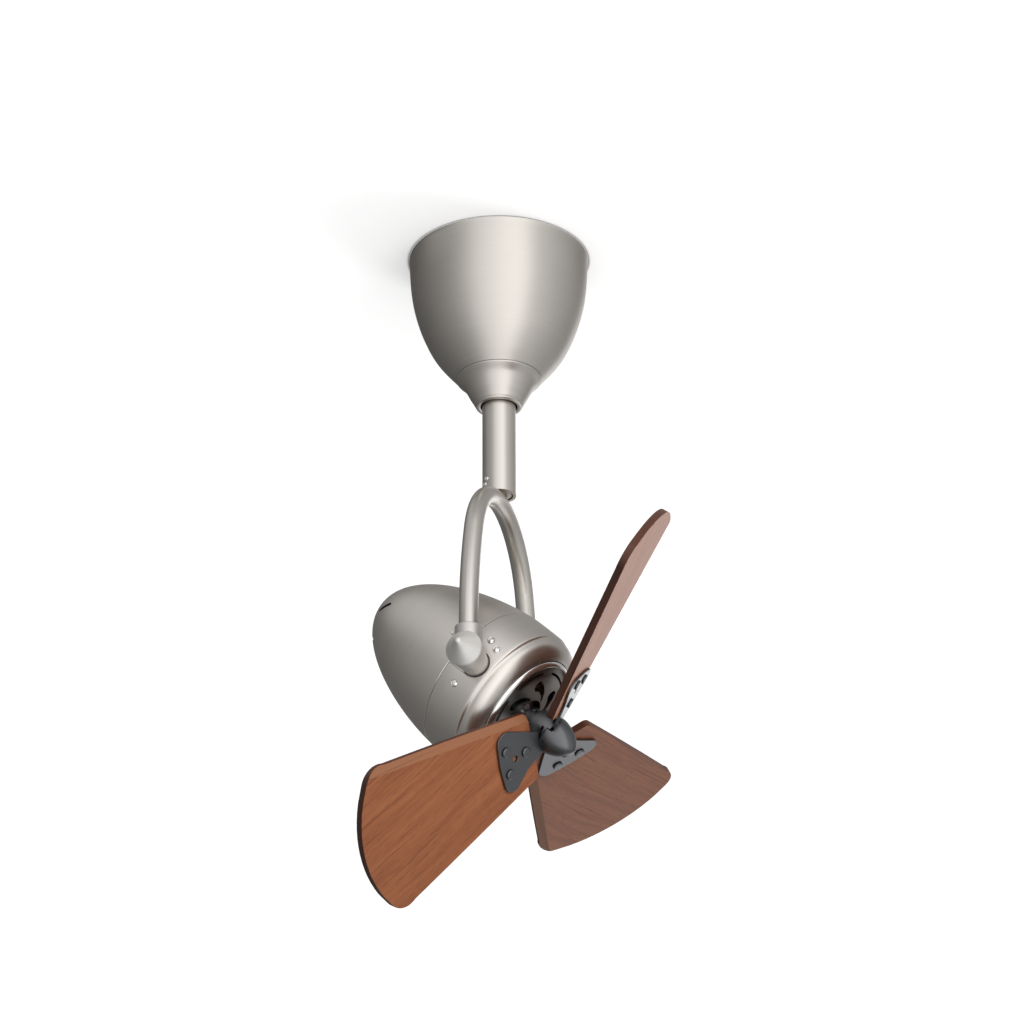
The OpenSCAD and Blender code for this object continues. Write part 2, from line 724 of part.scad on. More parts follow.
module stator_windings() color(copper) in_head() {
    for (s = [0, 1]) mirror([0, 0, s]) rotate_extrude() translate([winding_in, stator_half])
        polygon(rounded([[0, 0, 0], [winding_w, 0, 0], [winding_w, winding_h, 3], [0, winding_h, 3]], 5));
}

module shaft_bushes() color(brass) in_head() {
    ring(bush_r, shaft_r + run_gap, front_plate_z - end_plate_t - 1, front_plate_z - end_plate_t + 9);
    ring(bush_r, shaft_r + run_gap, rear_plate_z + end_plate_t - 9, rear_plate_z + end_plate_t + 1);
}

// Radius of the head's skin at a distance along its axis
function skin_r(z) = z > belt_z
    ? head_r - 0.6 * pow(max(0, z - belt_z) / (shoulder_z - belt_z), 2)
    : head_r * pow(max(0, 1 - pow((belt_z - z) / (belt_z + rear_len), rear_power)), 1 / rear_round);
rear_shares = [0.012, 0.04, 0.085, 0.15, 0.24, 0.35, 0.47, 0.6, 0.73, 0.86, 1];
function rear_out(inset) = concat([[0, inset - rear_len]], [for (u = rear_shares)
    let (z = (rear_len - inset - seam_back) * u - rear_len + inset,
         v = (belt_z - z) / (belt_z + rear_len - inset))
    [(head_r - inset) * pow(1 - pow(v, rear_power), 1 / rear_round), z]]);

// The rear shell's spigot runs on inside the front shell, under the shell screws
spigot_out = head_r - shell_wall - 0.05;
spigot_in = spigot_out - 1.7;
spigot_z = 8;

rear_slot_at = 31;
rear_slot_turn = -55;
rear_slot_reach = 5.4;
rear_slot_r = 1.4;
module rear_slots() {
    for (i = [0:rear_slot_count - 1]) rotate([0, 0, 188 + 360 / rear_slot_count * i])
        translate([rear_slot_at, 0, -rear_len - 4]) rotate([0, 0, rear_slot_turn]) {
            translate([-rear_slot_reach, -rear_slot_r, 0]) cube([2 * rear_slot_reach, 2 * rear_slot_r, 40]);
            for (e = [-1, 1]) translate([e * rear_slot_reach, 0, 0]) cylinder(r = rear_slot_r, h = 40);
        }
}

module rear_shell() color(nickel) in_head() difference() {
    union() {
        rotate_extrude($fn = 180) polygon(concat(rear_out(0),
            [for (i = [len(rear_shares):-1:0]) rear_out(shell_wall)[i]]));
        ring(spigot_out, spigot_in, -seam_back - 3, spigot_z);
        tongues();
    }
    for (p = shell_screw_spots) rotate([0, 0, p[1]]) translate([0, 0, p[0]]) rotate([0, 90, 0])
        bar(1.7, carrier_in, head_reach);
    rear_slots();
    rotate([0, 90, 0]) translate([0, 0, -head_reach]) cylinder(r = notch_half, h = 2 * head_reach);
}

// Tongues of the rear shell that close the front shell's notches behind the pivots
module tongues() {
    intersection() {
        ring(head_r - 0.15, spigot_in + 0.5, -seam_back - 1, 0);
        for (s = [0, 180]) rotate([0, 0, s]) translate([head_reach / 2, -notch_half, -seam_back - 1])
            cube([head_reach / 2, 2 * notch_half, seam_back + 1]);
    }
}

module front_shell() color(nickel) in_head() difference() {
    rotate_extrude($fn = 180) polygon(concat(
        [for (z = [-seam_back, -10, 0, 8, shoulder_z - 1]) [skin_r(z), z]],
        [[skin_r(shoulder_z) - 1.2, shoulder_z]],
        [for (a = [10:16:90]) [ring_r + 0.4 + (skin_r(shoulder_z) - 1.2 - ring_r - 0.4) * cos(a),
            shoulder_z + (ring_z - shoulder_z) * sin(a)]],
        [[ring_r + 0.4, ring_z - 3], [ring_r - 4.5, ring_z - 3], [ring_r - 4.5, ring_z - 5],
         [ring_r + 3, ring_z - 5.4], [head_r - shell_wall - 3, shoulder_z + 3],
         [head_r - shell_wall - 0.7, shoulder_z - 1], [head_r - shell_wall, spigot_z + 1],
         [head_r - shell_wall, -seam_back]]));
    rotate([0, 90, 0]) translate([0, 0, -head_reach]) cylinder(r = notch_half + notch_gap, h = 2 * head_reach);
    translate([-head_reach, -notch_half - notch_gap, -seam_back - 1])
        cube([2 * head_reach, 2 * (notch_half + notch_gap), seam_back + 1]);
    for (p = shell_screw_spots) rotate([0, 0, p[1]]) translate([0, 0, p[0]]) rotate([0, 90, 0]) {
        bar(1.7, carrier_in, head_reach);
        bar(3.3, head_r - 0.4, head_reach);
    }
}

// Shell screws: [distance along the head's axis, angle about it]
shell_screw_spots = [[-5, 160], [-5, 200], [4.5, 163], [-5, 20], [-5, -20], [4.5, 17]];
module shell_screws() color(steel) in_head() {
    for (p = shell_screw_spots) rotate([0, 0, p[1]]) translate([0, 0, p[0]]) rotate([0, 90, 0]) {
        bar(1.5, carrier_in + 3, head_r - 0.4);
        translate([0, 0, head_r - 0.4]) cylinder(r1 = 3.1, r2 = 2.2, h = 1.7);
    }
}

module front_ring() color(bright_nickel) in_head() rotate_extrude($fn = 180)
    polygon([[ring_r, ring_z - 3], [ring_r, ring_z], [ring_r - 1.2, ring_z + 2.2], [ring_r - 3.2, ring_z + 3.1],
        [ring_r - 3.7, ring_z + 2.6], [ring_r - 3.7, ring_z - 3]]);

// Teardrop vent: a round head that curls inwards to a point
module swirl(steps = 14) {
    head_at = 27.6;
    tail_at = 14.8;
    curl = -48;
    fat = 4.9;
    line = [for (i = [0:steps]) let (t = i / steps)
        [head_at + (tail_at - head_at) * pow(t, 1.15), curl * t, fat * sqrt(1 - t) * (1 - 0.25 * t)]];
    out = [for (p = line) (p[0] + p[2] * 0.8) * [cos(p[1] - p[2] * 0.5), sin(p[1] - p[2] * 0.5)]];
    in = [for (i = [steps - 1:-1:0]) let (p = line[i])
        (p[0] - p[2] * 0.8) * [cos(p[1] + p[2] * 0.5), sin(p[1] + p[2] * 0.5)]];
    cap = [for (a = [150:-30:30]) head_at * [1, 0] + fat * [sin(90 - a) * 0.9, sin(a)]];
    polygon(concat(out, in, []));
    translate([head_at, 0]) circle(r = fat * 0.95, $fn = 32);
}

module vent_plate() color(pewter) in_head() difference() {
    rotate_extrude() polygon([[hub_r + 1.5, plate_z + 1.2], [36, plate_z + 0.6], [plate_disc_r, plate_z - 1],
        [plate_disc_r, ring_z - 3], [plate_disc_r - 2, ring_z - 3], [plate_disc_r - 2, plate_z - 1.6],
        [36, plate_z + 0.6 - plate_disc_t], [hub_r + 1.5, plate_z + 1.2 - plate_disc_t]]);
    for (i = [0:swirl_count - 1]) rotate([0, 0, 360 / swirl_count * i]) {
        translate([0, 0, plate_z - 8]) rotate([0, 0, 128]) linear_extrude(16) swirl();
        translate([0, 0, plate_z - 8]) rotate([0, 0, 148]) linear_extrude(16)
            polygon(concat([for (a = [-21:3:21]) 40.2 * [cos(a), sin(a)]],
                [for (a = [21:-3:-21]) 38.2 * [cos(a), sin(a)]]));
    }
}

// ---------- fan ----------

module motor_shaft() color(steel) in_head() bar(shaft_r, rear_plate_z - 8, hub_front + 8);

module shaft_collars() color(brass) in_head() {
    ring(6.5, shaft_r, stator_half, front_plate_z - end_plate_t - 1 - run_gap);
    ring(6.5, shaft_r, rear_plate_z + end_plate_t + 1 + run_gap, -stator_half);
}

module hub_screw_axis() rotate([0, 0, 140]) translate([0, 0, plate_z + 6.5]) rotate([0, 90, 0]) children();
module hub_screw() color(steel) in_head() hub_screw_axis() difference() {
    bar(1.5, shaft_r, 8.6);
    translate([0, 0, 7]) cylinder(r = 0.8, h = 3, $fn = 6);
}

module rotor_core() color(steel) in_head() difference() {
    union() {
        bar(bore_r - air_gap, -stator_half, stator_half);
        for (s = [0, 1]) mirror([0, 0, s]) ring(bore_r - 2, bore_r - 8, stator_half, stator_half + 3);
    }
    bar(shaft_r, -stator_half - 1, stator_half + 1);
    for (a = [0:60:300]) rotate([0, 0, a]) translate([12, 0, 0]) bar(3.5, -20, 20);
}

module fan_hub() color(charcoal) difference() {
    in_head() difference() {
        union() {
            bar(hub_r, hub_back, hub_front);
            bar(hub_r - 3.5, plate_z + 3, hub_back);
        }
        bar(shaft_r, plate_z, hub_front + 1);
        hub_screw_axis() bar(1.5, 0, 20);
    }
    for (i = [0:blade_count - 1]) in_blade(i) translate([7, -30, 0]) cube([20, 60, iron_t]);
}

iron_half = 27.3;
iron_neck = 9.7;
iron_waist = [30, 14.5];
iron_brow = 18.5;
function iron_outline() = rounded([[8, -iron_neck + 1, 0], [14, -iron_neck, 6], [iron_waist.x, -iron_brow, 0],
    [iron_len - 11, -iron_half, 7], [iron_len - 1.4, -iron_half + 3.3, 8], [iron_len + 0.6, 0, 60],
    [iron_len - 1.4, iron_half - 3.3, 8], [iron_len - 11, iron_half, 7], [iron_waist.x, iron_waist.y, 20],
    [14, iron_neck, 6], [8, iron_neck - 1, 0]], 5);

module at_rivets() {
    translate([rivet_far, -rivet_side, 0]) children();
    translate([rivet_far, rivet_side, 0]) children();
    translate([rivet_near, 0, 0]) children();
}

module blade_iron() difference() {
    linear_extrude(iron_t) difference() {
        polygon(iron_outline());
        translate([iron_hole_x, 0]) circle(r = 2.7);
    }
    at_rivets() bar(2, -1, iron_t + 1);
}
module blade_irons() color(charcoal) for (i = [0:blade_count - 1]) in_blade(i) blade_iron();

// Blade outline: bowed sides that widen to a round-cornered, arched tip
function side_half(r) = let (u = (r - blade_root) / (tip_reach - blade_root))
    root_half + (tip_half - root_half) * u + side_bow * u * (1 - u);
tip_reach = sweep_r - 27;
function tip_x(w) = sweep_r - tip_arc_r + sqrt(tip_arc_r * tip_arc_r - w * w);
function blade_outline() =
    let (side = [for (i = [1:7]) let (r = blade_root + (tip_reach - 12 - blade_root) * i / 7) [r, side_half(r)]],
         half = concat([[blade_root, root_half, 5]], [for (p = side) [p.x, p.y, 0]],
             [[tip_x(tip_half + 2) + 1.2, tip_half + 3.4, tip_corner]],
             [for (w = [40:-10:10]) [tip_x(w), w, 0]]))
    rounded(concat([for (p = half) [p.x, -p.y, p.z]], [[tip_x(0), 0, 0]],
        [for (i = [len(half) - 1:-1:0]) half[i]]), 8);

chamfer_w = 8;
chamfer_d = 3;
module blade(i) color(mahogany) in_blade(i) difference() {
    translate([0, 0, -blade_t]) linear_extrude(blade_t) polygon(blade_outline());
    edge = atan2(tip_half - root_half, tip_reach - blade_root);
    translate([blade_root, -root_half - 1.4, 0]) rotate([0, 0, -edge])
        rotate([-atan2(chamfer_d, chamfer_w), 0, 0]) translate([-20, -20, -chamfer_d])
            cube([260, 20, 20]);
    at_rivets() bar(2, -blade_t - 1, 1);
}
module blade_1() blade(0);
module blade_2() blade(1);
module blade_3() blade(2);

module blade_rivets() color(charcoal) for (i = [0:blade_count - 1]) in_blade(i) at_rivets() {
    bar(2, -blade_t, iron_t);
    translate([0, 0, iron_t]) intersection() {
        cylinder(r = rivet_head_r, h = 1.8);
        translate([0, 0, 1.8 - 5.8]) sphere(r = 5.8, $fn = 48);
    }
    translate([0, 0, -blade_t - 1]) cylinder(r1 = 3, r2 = 3.6, h = 1);
}

module spinner() color(charcoal) difference() {
    in_head() rotate_extrude($fn = 120) polygon(concat([[0, hub_front], [spinner_r - 0.8, hub_front],
        [spinner_r, hub_front + 0.8]],
        [for (u = [0.06:0.094:1]) [spinner_r * pow(1 - pow(u, 1.7), 0.62), hub_front + 0.8
            + (spinner_len - 0.8) * u]],
        [[0, hub_front + spinner_len]]));
    in_head() bar(shaft_r, hub_front - 1, hub_front + 8);
    for (i = [0:blade_count - 1]) in_blade(i) translate([7, 0, -8]) cube([20, 20, 8 + iron_t]);
}

ceiling_bracket();
bracket_pillars();
pillar_screws();
drive_plate();
guide_tube();
stem_bushes();
thrust_race_lower();
thrust_balls();
thrust_cage();
thrust_race_upper();
swivel_motor();
swivel_motor_screws();
stop_posts();
run_capacitor();
terminal_block();
canopy();
canopy_collar();
drive_pinion();
pinion_shaft();
stem();
stem_collar();
stem_cross_pin();
swivel_gear();
gear_screws();
stem_plug();
plug_screws();
yoke_nipple();
yoke();
knuckle_left();
knuckle_right();
pivot_cap_left();
pivot_cap_right();
knuckle_screws();
friction_washers();
pivot_bolts();
disc_springs();
motor_carrier();
front_bracket();
rear_bracket();
motor_studs();
stator_core();
stator_windings();
shaft_bushes();
rear_shell();
front_shell();
shell_screws();
front_ring();
vent_plate();
motor_shaft();
shaft_collars();
rotor_core();
fan_hub();
hub_screw();
blade_irons();
blade_1();
blade_2();
blade_3();
blade_rivets();
spinner();
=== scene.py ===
import json
import math
import bmesh
import bpy
from mathutils import Matrix, Vector


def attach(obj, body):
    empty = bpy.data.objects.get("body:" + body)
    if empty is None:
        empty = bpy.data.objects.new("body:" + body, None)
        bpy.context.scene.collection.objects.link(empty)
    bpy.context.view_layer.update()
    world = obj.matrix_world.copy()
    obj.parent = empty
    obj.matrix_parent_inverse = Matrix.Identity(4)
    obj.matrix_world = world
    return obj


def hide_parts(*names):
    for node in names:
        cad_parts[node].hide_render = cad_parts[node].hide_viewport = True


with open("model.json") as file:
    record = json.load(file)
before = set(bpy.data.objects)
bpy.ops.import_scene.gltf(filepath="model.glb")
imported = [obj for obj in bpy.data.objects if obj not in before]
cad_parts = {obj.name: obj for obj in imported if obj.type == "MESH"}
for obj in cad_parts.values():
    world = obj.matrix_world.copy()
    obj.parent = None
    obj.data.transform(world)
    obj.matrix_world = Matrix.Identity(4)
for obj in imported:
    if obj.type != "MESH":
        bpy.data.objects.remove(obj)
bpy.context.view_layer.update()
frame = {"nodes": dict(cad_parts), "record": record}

mm = 0.001
print("frame loaded:", len(frame["nodes"]), "nodes")

# where the head and the blades sit, as in the part's source
layout = {"pivotZ": -400.2, "headTilt": 42.8, "fanZ": 57.5, "phase": 239.0, "pitch": 20.8, "blades": 3,
          "stemEnd": -222.7}


def moved(x, y, z):
    return Matrix.Translation((x * mm, y * mm, z * mm))


def turned(angle, axis):
    return Matrix.Rotation(math.radians(angle), 4, axis)


pivotAxes = moved(0, 0, layout["pivotZ"])
headAxes = pivotAxes @ turned(90 + layout["headTilt"], "X")
zAxis = Vector((0, 0, 1))
headAxis = headAxes.to_3x3() @ zAxis


def bladeAxes(index):
    turn = turned(layout["phase"] + 360 / layout["blades"] * index, "Z")
    return headAxes @ turn @ moved(0, 0, layout["fanZ"]) @ turned(layout["pitch"], "X")


# ---- node trees ----

class Wire:
    # a node's output socket, so that sums can be written plainly
    def __init__(self, tree, socket):
        self.tree, self.socket = tree, socket

    def maths(self, operation, first, second):
        node = self.tree.nodes.new("ShaderNodeMath")
        node.operation = operation
        for slot, value in zip(node.inputs, (first, second)):
            plug(self.tree, slot, value)
        return Wire(self.tree, node.outputs[0])

    def __add__(self, other):
        return self.maths("ADD", self, other)

    def __mul__(self, other):
        return self.maths("MULTIPLY", self, other)

    def __rsub__(self, other):
        return self.maths("SUBTRACT", other, self)

    __radd__, __rmul__ = __add__, __mul__


def plug(tree, slot, value):
    if isinstance(value, Wire):
        tree.links.new(value.socket, slot)
    else:
        slot.default_value = value


class Nodes:
    # adds nodes to an emptied tree, each with its settings and what goes into its inputs
    def __init__(self, tree):
        self.tree = tree
        tree.nodes.clear()

    def node(self, kind, settings=None, inputs=None, output=0):
        made = self.tree.nodes.new(kind)
        for key, value in (settings or {}).items():
            setattr(made, key, value)
        for key, value in (inputs or {}).items():
            plug(self.tree, made.inputs[key], value)
        return Wire(self.tree, made.outputs[output])

    def close(self, last, kind):
        end = self.tree.nodes.new(kind)
        self.tree.links.new(last.socket, end.inputs[0])

    def spot(self):
        return self.node("ShaderNodeTexCoord", output="Object")

    def noise(self, where, scale, detail=2.0, rough=0.5):
        return self.node("ShaderNodeTexNoise", None, {
            "Vector": where, "Scale": scale, "Detail": detail, "Roughness": rough})

    def vector(self, operation, first, second=None, scale=None, output=0):
        inputs = {0: first}
        if second is not None:
            inputs[1] = second
        if scale is not None:
            inputs[3] = scale
        return self.node("ShaderNodeVectorMath", {"operation": operation}, inputs, output)

    def ranged(self, value, spread, settings=None):
        # spread holds the value's two ends and what they become
        return self.node("ShaderNodeMapRange", settings, dict(enumerate((value, *spread))))

    def ramp(self, value, stops):
        # stops are (place, colour)
        made = self.node("ShaderNodeValToRGB", None, {0: value})
        points = made.socket.node.color_ramp.elements
        while len(points) > 1:
            points.remove(points[-1])
        points[0].position, points[0].color = stops[0]
        for place, colour in stops[1:]:
            points.new(place).color = colour
        return made

    def blend(self, factor, first, second):
        return self.node("ShaderNodeMix", {"data_type": "RGBA"}, {0: factor, 6: first, 7: second}, 2)

    def bump(self, height, strength, distance):
        return self.node("ShaderNodeBump", None, {
            "Height": height, "Strength": strength, "Distance": distance})


finishes = {}


class Finish(Nodes):
    # one material, kept in finishes under its name; surface() sets what it looks like
    def __init__(self, name):
        finishes[name] = bpy.data.materials.new(name)
        finishes[name].use_nodes = True
        super().__init__(finishes[name].node_tree)

    def surface(self, **sockets):
        shader = self.node("ShaderNodeBsdfPrincipled", None, {
            key.replace("_", " "): value for key, value in sockets.items()})
        self.close(shader, "ShaderNodeOutputMaterial")


def rgb(red, green, blue):
    return (red, green, blue, 1.0)


def grey(level):
    return rgb(level, level, level)


def shades(colour, spread):
    # the colour at each share of its brightness
    return [rgb(*[min(1.0, channel * share) for channel in colour]) for share in spread]


# ---- metals and plastics ----

brushing = {"lines": 1500.0, "drift": 14.0, "grain": 2600.0, "patches": 26.0, "spread": (0.86, 1.13),
            "smoother": 0.07, "roughLines": 0.09, "roughPatches": 0.05, "deep": 0.00002}


def brushedMetal(name, colour, rough, axis=None, anisotropic=0.0, depth=0.1, metallic=1.0, edge=1.0):
    # fine turned or drawn lines that run round the axis, over a faint uneven tone
    look = Finish(name)
    where = look.spot()
    if axis is None:
        lines = look.noise(where, brushing["grain"])
    else:
        along = look.vector("DOT_PRODUCT", where, tuple(axis), output=1)
        stretched = look.vector("ADD", look.vector("SCALE", where, scale=brushing["drift"]),
                                look.vector("SCALE", tuple(axis), scale=along * brushing["lines"]))
        lines = look.noise(stretched, 1.0, 3.0, 0.6)
    grain = look.noise(where, brushing["grain"], 1.0)
    patches = look.noise(where, brushing["patches"], 3.0, 0.6)
    tone = lines * 0.5 + grain * 0.2 + patches * 0.3
    roughness = (rough - brushing["smoother"] + lines * brushing["roughLines"]
                 + patches * brushing["roughPatches"])
    look.surface(
        Base_Color=look.blend(tone, *shades(colour, brushing["spread"])), Metallic=metallic,
        Specular_Tint=grey(edge), Roughness=roughness, Anisotropic=anisotropic,
        Normal=look.bump(lines * 0.7 + grain * 0.3, depth, brushing["deep"]))


casting = {"grain": 900.0, "patches": 40.0, "spread": (0.85, 1.15), "smoother": 0.05, "roughPatches": 0.1,
           "deep": 0.00003}


def plainMetal(name, colour, rough, grainScale=casting["grain"], depth=0.12, metallic=1.0):
    # cast, plated or coated metal with a fine even grain
    look = Finish(name)
    where = look.spot()
    grain = look.noise(where, grainScale)
    patches = look.noise(where, casting["patches"], 3.0, 0.6)
    look.surface(
        Base_Color=look.blend(grain * 0.4 + patches * 0.6, *shades(colour, casting["spread"])),
        Metallic=metallic, Roughness=rough - casting["smoother"] + patches * casting["roughPatches"],
        Normal=look.bump(grain, depth, casting["deep"]))


moulding = {"grain": 1400.0, "patches": 30.0, "spread": (0.92, 1.05), "smoother": 0.04, "roughGrain": 0.08,
            "depth": 0.08, "deep": 0.00002}


def plainPlastic(name, colour, rough):
    look = Finish(name)
    where = look.spot()
    grain = look.noise(where, moulding["grain"])
    patches = look.noise(where, moulding["patches"])
    look.surface(
        Base_Color=look.blend(patches, *shades(colour, moulding["spread"])),
        Roughness=rough - moulding["smoother"] + grain * moulding["roughGrain"],
        Normal=look.bump(grain, moulding["depth"], moulding["deep"]))


# ---- wood ----

woodTint = {"dark": (0.125, 0.036, 0.013), "mid": (0.215, 0.069, 0.026), "light": (0.285, 0.102, 0.040),
            "bevel": (0.225, 0.100, 0.052), "side": (0.034, 0.011, 0.006), "pore": (0.070, 0.022, 0.010)}
# how dense each kind of mark is along, across and through the blade, and where marks start and end
woodGrain = {"sway": (7.0, 16.0, 10.0), "figure": (6.0, 130.0, 60.0), "streaks": (9.0, 520.0, 200.0),
             "pores": (70.0, 1500.0, 1200.0), "speckle": (260.0, 900.0, 900.0),
             "figureSway": 3.2, "streakSway": 6.0, "streakRange": (0.56, 0.63, 0.0, 0.75),
             "poreRange": (0.57, 0.68, 0.0, 0.7), "rough": 0.42, "roughStreaks": 0.14,
             "depth": 0.18, "deep": 0.00012}


def stainedWood():
    # each blade's own "grain" attribute gives x along the blade, y across and z through it, and "tone"
    # is 1 on its bevel, -1 on its sides and 0 on its faces
    look = Finish("stainedWood")
    tint = {name: rgb(*colour) for name, colour in woodTint.items()}
    where = look.node("ShaderNodeAttribute", {"attribute_name": "grain"}, output="Vector")
    tone = look.node("ShaderNodeAttribute", {"attribute_name": "tone"}, output="Fac")

    def stretched(name, sideways=None):
        marks = look.vector("MULTIPLY", where, woodGrain[name])
        return marks if sideways is None else look.vector("ADD", marks, sideways)

    sway = look.noise(stretched("sway"), 1.0)
    figureShift = look.vector("SCALE", (0.0, 1.0, 0.3), scale=sway * woodGrain["figureSway"])
    figure = look.noise(stretched("figure", figureShift), 1.0, 4.0, 0.62)
    streakShift = look.vector("SCALE", (0.0, 1.0, 0.0), scale=sway * woodGrain["streakSway"])
    streaks = look.noise(stretched("streaks", streakShift), 1.0, 3.0, 0.6)
    pores = look.noise(stretched("pores"), 1.0, 2.0, 0.6)
    speckle = look.noise(stretched("speckle"), 1.0)
    face = look.ramp(figure * 0.62 + streaks * 0.38,
                     [(0.30, tint["dark"]), (0.46, tint["mid"]), (0.66, tint["light"])])
    face = look.blend(look.ranged(streaks, woodGrain["streakRange"]), face, tint["dark"])
    face = look.blend(look.ranged(pores, woodGrain["poreRange"]), face, tint["pore"])
    bevel = look.blend(speckle * 0.55, tint["bevel"], tint["mid"])
    side = look.blend(streaks * 0.4, tint["side"], tint["dark"])
    isBevel = look.ranged(tone, (0.4, 0.6, 0.0, 1.0))
    isSide = look.ranged(tone, (-0.4, -0.6, 0.0, 1.0))
    look.surface(
        Base_Color=look.blend(isSide, look.blend(isBevel, face, bevel), side),
        Roughness=woodGrain["rough"] + streaks * woodGrain["roughStreaks"],
        Normal=look.bump(figure * 0.2 + pores * 0.8, woodGrain["depth"], woodGrain["deep"]))


nickel = (0.62, 0.588, 0.545)
brushedMetal("canopyNickel", nickel, 0.32, zAxis, 0.5, 0.14, edge=0.5)
brushedMetal("stemNickel", nickel, 0.32, zAxis, 0.3)
brushedMetal("yokeNickel", nickel, 0.36)
# the pivot caps' nickel is a lighter copy of the nickel: painted light that brightens the caps
brushedMetal("castNickel", (0.76, 0.745, 0.72), 0.50, metallic=0.8)
brushedMetal("knuckleNickel", (0.62, 0.60, 0.57), 0.44, metallic=0.9)
# the head shells' nickel is a lighter copy of the plain nickel: painted light that brightens the whole head
brushedMetal("headNickel", (0.72, 0.683, 0.635), 0.38, headAxis, depth=0.12, edge=0.7)
brushedMetal("polishedRing", (0.90, 0.89, 0.87), 0.24, headAxis, depth=0.03)
plainMetal("brightScrew", (0.90, 0.89, 0.87), 0.20, 1500.0, 0.04)
brushedMetal("darkPewter", (0.30, 0.288, 0.27), 0.34, headAxis)
plainMetal("spinnerPaint", (0.135, 0.137, 0.143), 0.24, 1300.0, 0.10)
plainMetal("charcoal", (0.160, 0.163, 0.170), 0.33, 1300.0, 0.14)
# near-black painted shade for the unlit inside of the head shells
plainMetal("blackInside", (0.006, 0.006, 0.006), 0.8, 600.0, 0.2, 0.0)
plainMetal("zincPlate", (0.60, 0.61, 0.62), 0.36)
plainMetal("castAlloy", (0.52, 0.52, 0.51), 0.52, 600.0, 0.3)
plainMetal("bronze", (0.62, 0.42, 0.18), 0.34)
plainMetal("copperWire", (0.62, 0.24, 0.10), 0.30, 500.0, 0.3)
plainPlastic("whiteNylon", (0.80, 0.79, 0.73), 0.45)
plainPlastic("blackPolymer", (0.022, 0.022, 0.024), 0.42)
stainedWood()
print("finishes made:", len(finishes))

# the finish of each material slot, and of the nodes that differ from their slot
slotFinish = {"plated_steel": "zincPlate", "cast_zinc": "castAlloy", "satin_nickel": "stemNickel",
              "satin_nickel_cast": "headNickel", "nickel_screw": "brightScrew",
              "polished_nickel": "polishedRing", "dark_pewter": "darkPewter", "charcoal_metal": "charcoal",
              "stained_wood": "stainedWood", "bronze": "bronze", "white_nylon": "whiteNylon",
              "black_polymer": "blackPolymer", "copper_winding": "copperWire"}
# the motor brackets inside the head get the dark charcoal as painted shade for the unlit inside of the motor
nodeFinish = {"front_bracket": "charcoal", "rear_bracket": "charcoal", "shaft_collars": "brightScrew",
              "friction_washers": "blackPolymer", "shaft_bushes": "zincPlate", "yoke": "yokeNickel",
              "canopy_collar": "canopyNickel", "knuckle_left": "knuckleNickel",
              "knuckle_right": "knuckleNickel", "pivot_cap_left": "castNickel",
              "pivot_cap_right": "castNickel"}
for part in frame["record"]["subparts"]:
    look = finishes[nodeFinish.get(part["node"], slotFinish[part["material_slot"]])]
    for slot in frame["nodes"][part["node"]].material_slots:
        slot.material = look


# ---- shapes ----

def linked(name, data):
    made = bpy.data.objects.new(name, data)
    bpy.context.scene.collection.objects.link(made)
    return made


def smoothed(piece, sharp=30.0):
    for face in piece.data.polygons:
        face.use_smooth = True
    piece.data.set_sharp_from_angle(angle=math.radians(sharp))
    return piece


def place(name, mesh, finish, sharp=30.0):
    mesh.materials.clear()
    mesh.materials.append(finishes[finish])
    return smoothed(linked(name, mesh), sharp)


def put(piece, body, node):
    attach(piece, body)
    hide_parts(node)


def flowing(points, steps=8):
    # a smooth line through the points; each is (radius, height)
    line = []
    for i in range(len(points) - 1):
        p0 = Vector(points[max(i - 1, 0)])
        p1 = Vector(points[i])
        p2 = Vector(points[i + 1])
        p3 = Vector(points[min(i + 2, len(points) - 1)])
        if i == 0:
            p0 = 2 * p1 - p2
        if i == len(points) - 2:
            p3 = 2 * p2 - p1
        for k in range(steps):
            t = k / steps
            line.append(0.5 * ((2 * p1) + (p2 - p0) * t + (2 * p0 - 5 * p1 + 4 * p2 - p3) * t * t
                               + (3 * p1 - p0 - 3 * p2 + p3) * t ** 3))
    line.append(Vector(points[-1]))
    return [(max(0.0, p.x), p.y) for p in line]


def arc(centre, radiusX, radiusZ, start, end, steps):
    # part of an ellipse in (radius, height), from one angle to another in degrees
    angles = [math.radians(start + (end - start) * k / steps) for k in range(steps + 1)]
    return [(centre[0] + radiusX * math.cos(a), centre[1] + radiusZ * math.sin(a)) for a in angles]


def circle(shape, radius, height, segments, axes=Matrix()):
    # a ring of vertices round the local Z axis, or one vertex on it
    if radius < 1e-4:
        return [shape.verts.new(axes @ Vector((0, 0, height * mm)))]
    points = [(radius * mm * math.cos(turn), radius * mm * math.sin(turn), height * mm)
              for turn in (2 * math.pi * k / segments for k in range(segments))]
    return [shape.verts.new(axes @ Vector(point)) for point in points]


def bridge(shape, a, b, closed=True):
    # faces between two rows of vertices, either of which may be a single one
    count = max(len(a), len(b))
    for k in range(count if closed else count - 1):
        n = (k + 1) % count
        corners = [a[k % len(a)], a[n % len(a)], b[n % len(b)], b[k % len(b)]]
        corners = [c for j, c in enumerate(corners) if c not in corners[:j]]
        if len(corners) > 2:
            shape.faces.new(corners)


def meshFrom(shape, name, outward=True):
    if outward:
        bmesh.ops.recalc_face_normals(shape, faces=shape.faces)
    mesh = bpy.data.meshes.new(name)
    shape.to_mesh(mesh)
    shape.free()
    return mesh


def turnedMesh(profile, axes=Matrix(), segments=192):
    # a closed outline of (radius, height) in millimetres, turned round the local Z axis
    shape = bmesh.new()
    rings = [circle(shape, radius, height, segments, axes) for radius, height in profile]
    for ring, following in zip(rings, rings[1:] + rings[:1]):
        bridge(shape, ring, following)
    return meshFrom(shape, "turned")


def prismMesh(outline, low, high, axes=Matrix()):
    # a flat outline in millimetres, raised from low to high
    shape = bmesh.new()
    lower, upper = [[shape.verts.new(axes @ Vector((x * mm, y * mm, z * mm))) for x, y in outline]
                    for z in (low, high)]
    shape.faces.new(list(reversed(lower)))
    shape.faces.new(upper)
    bridge(shape, lower, upper)
    return meshFrom(shape, "prism")


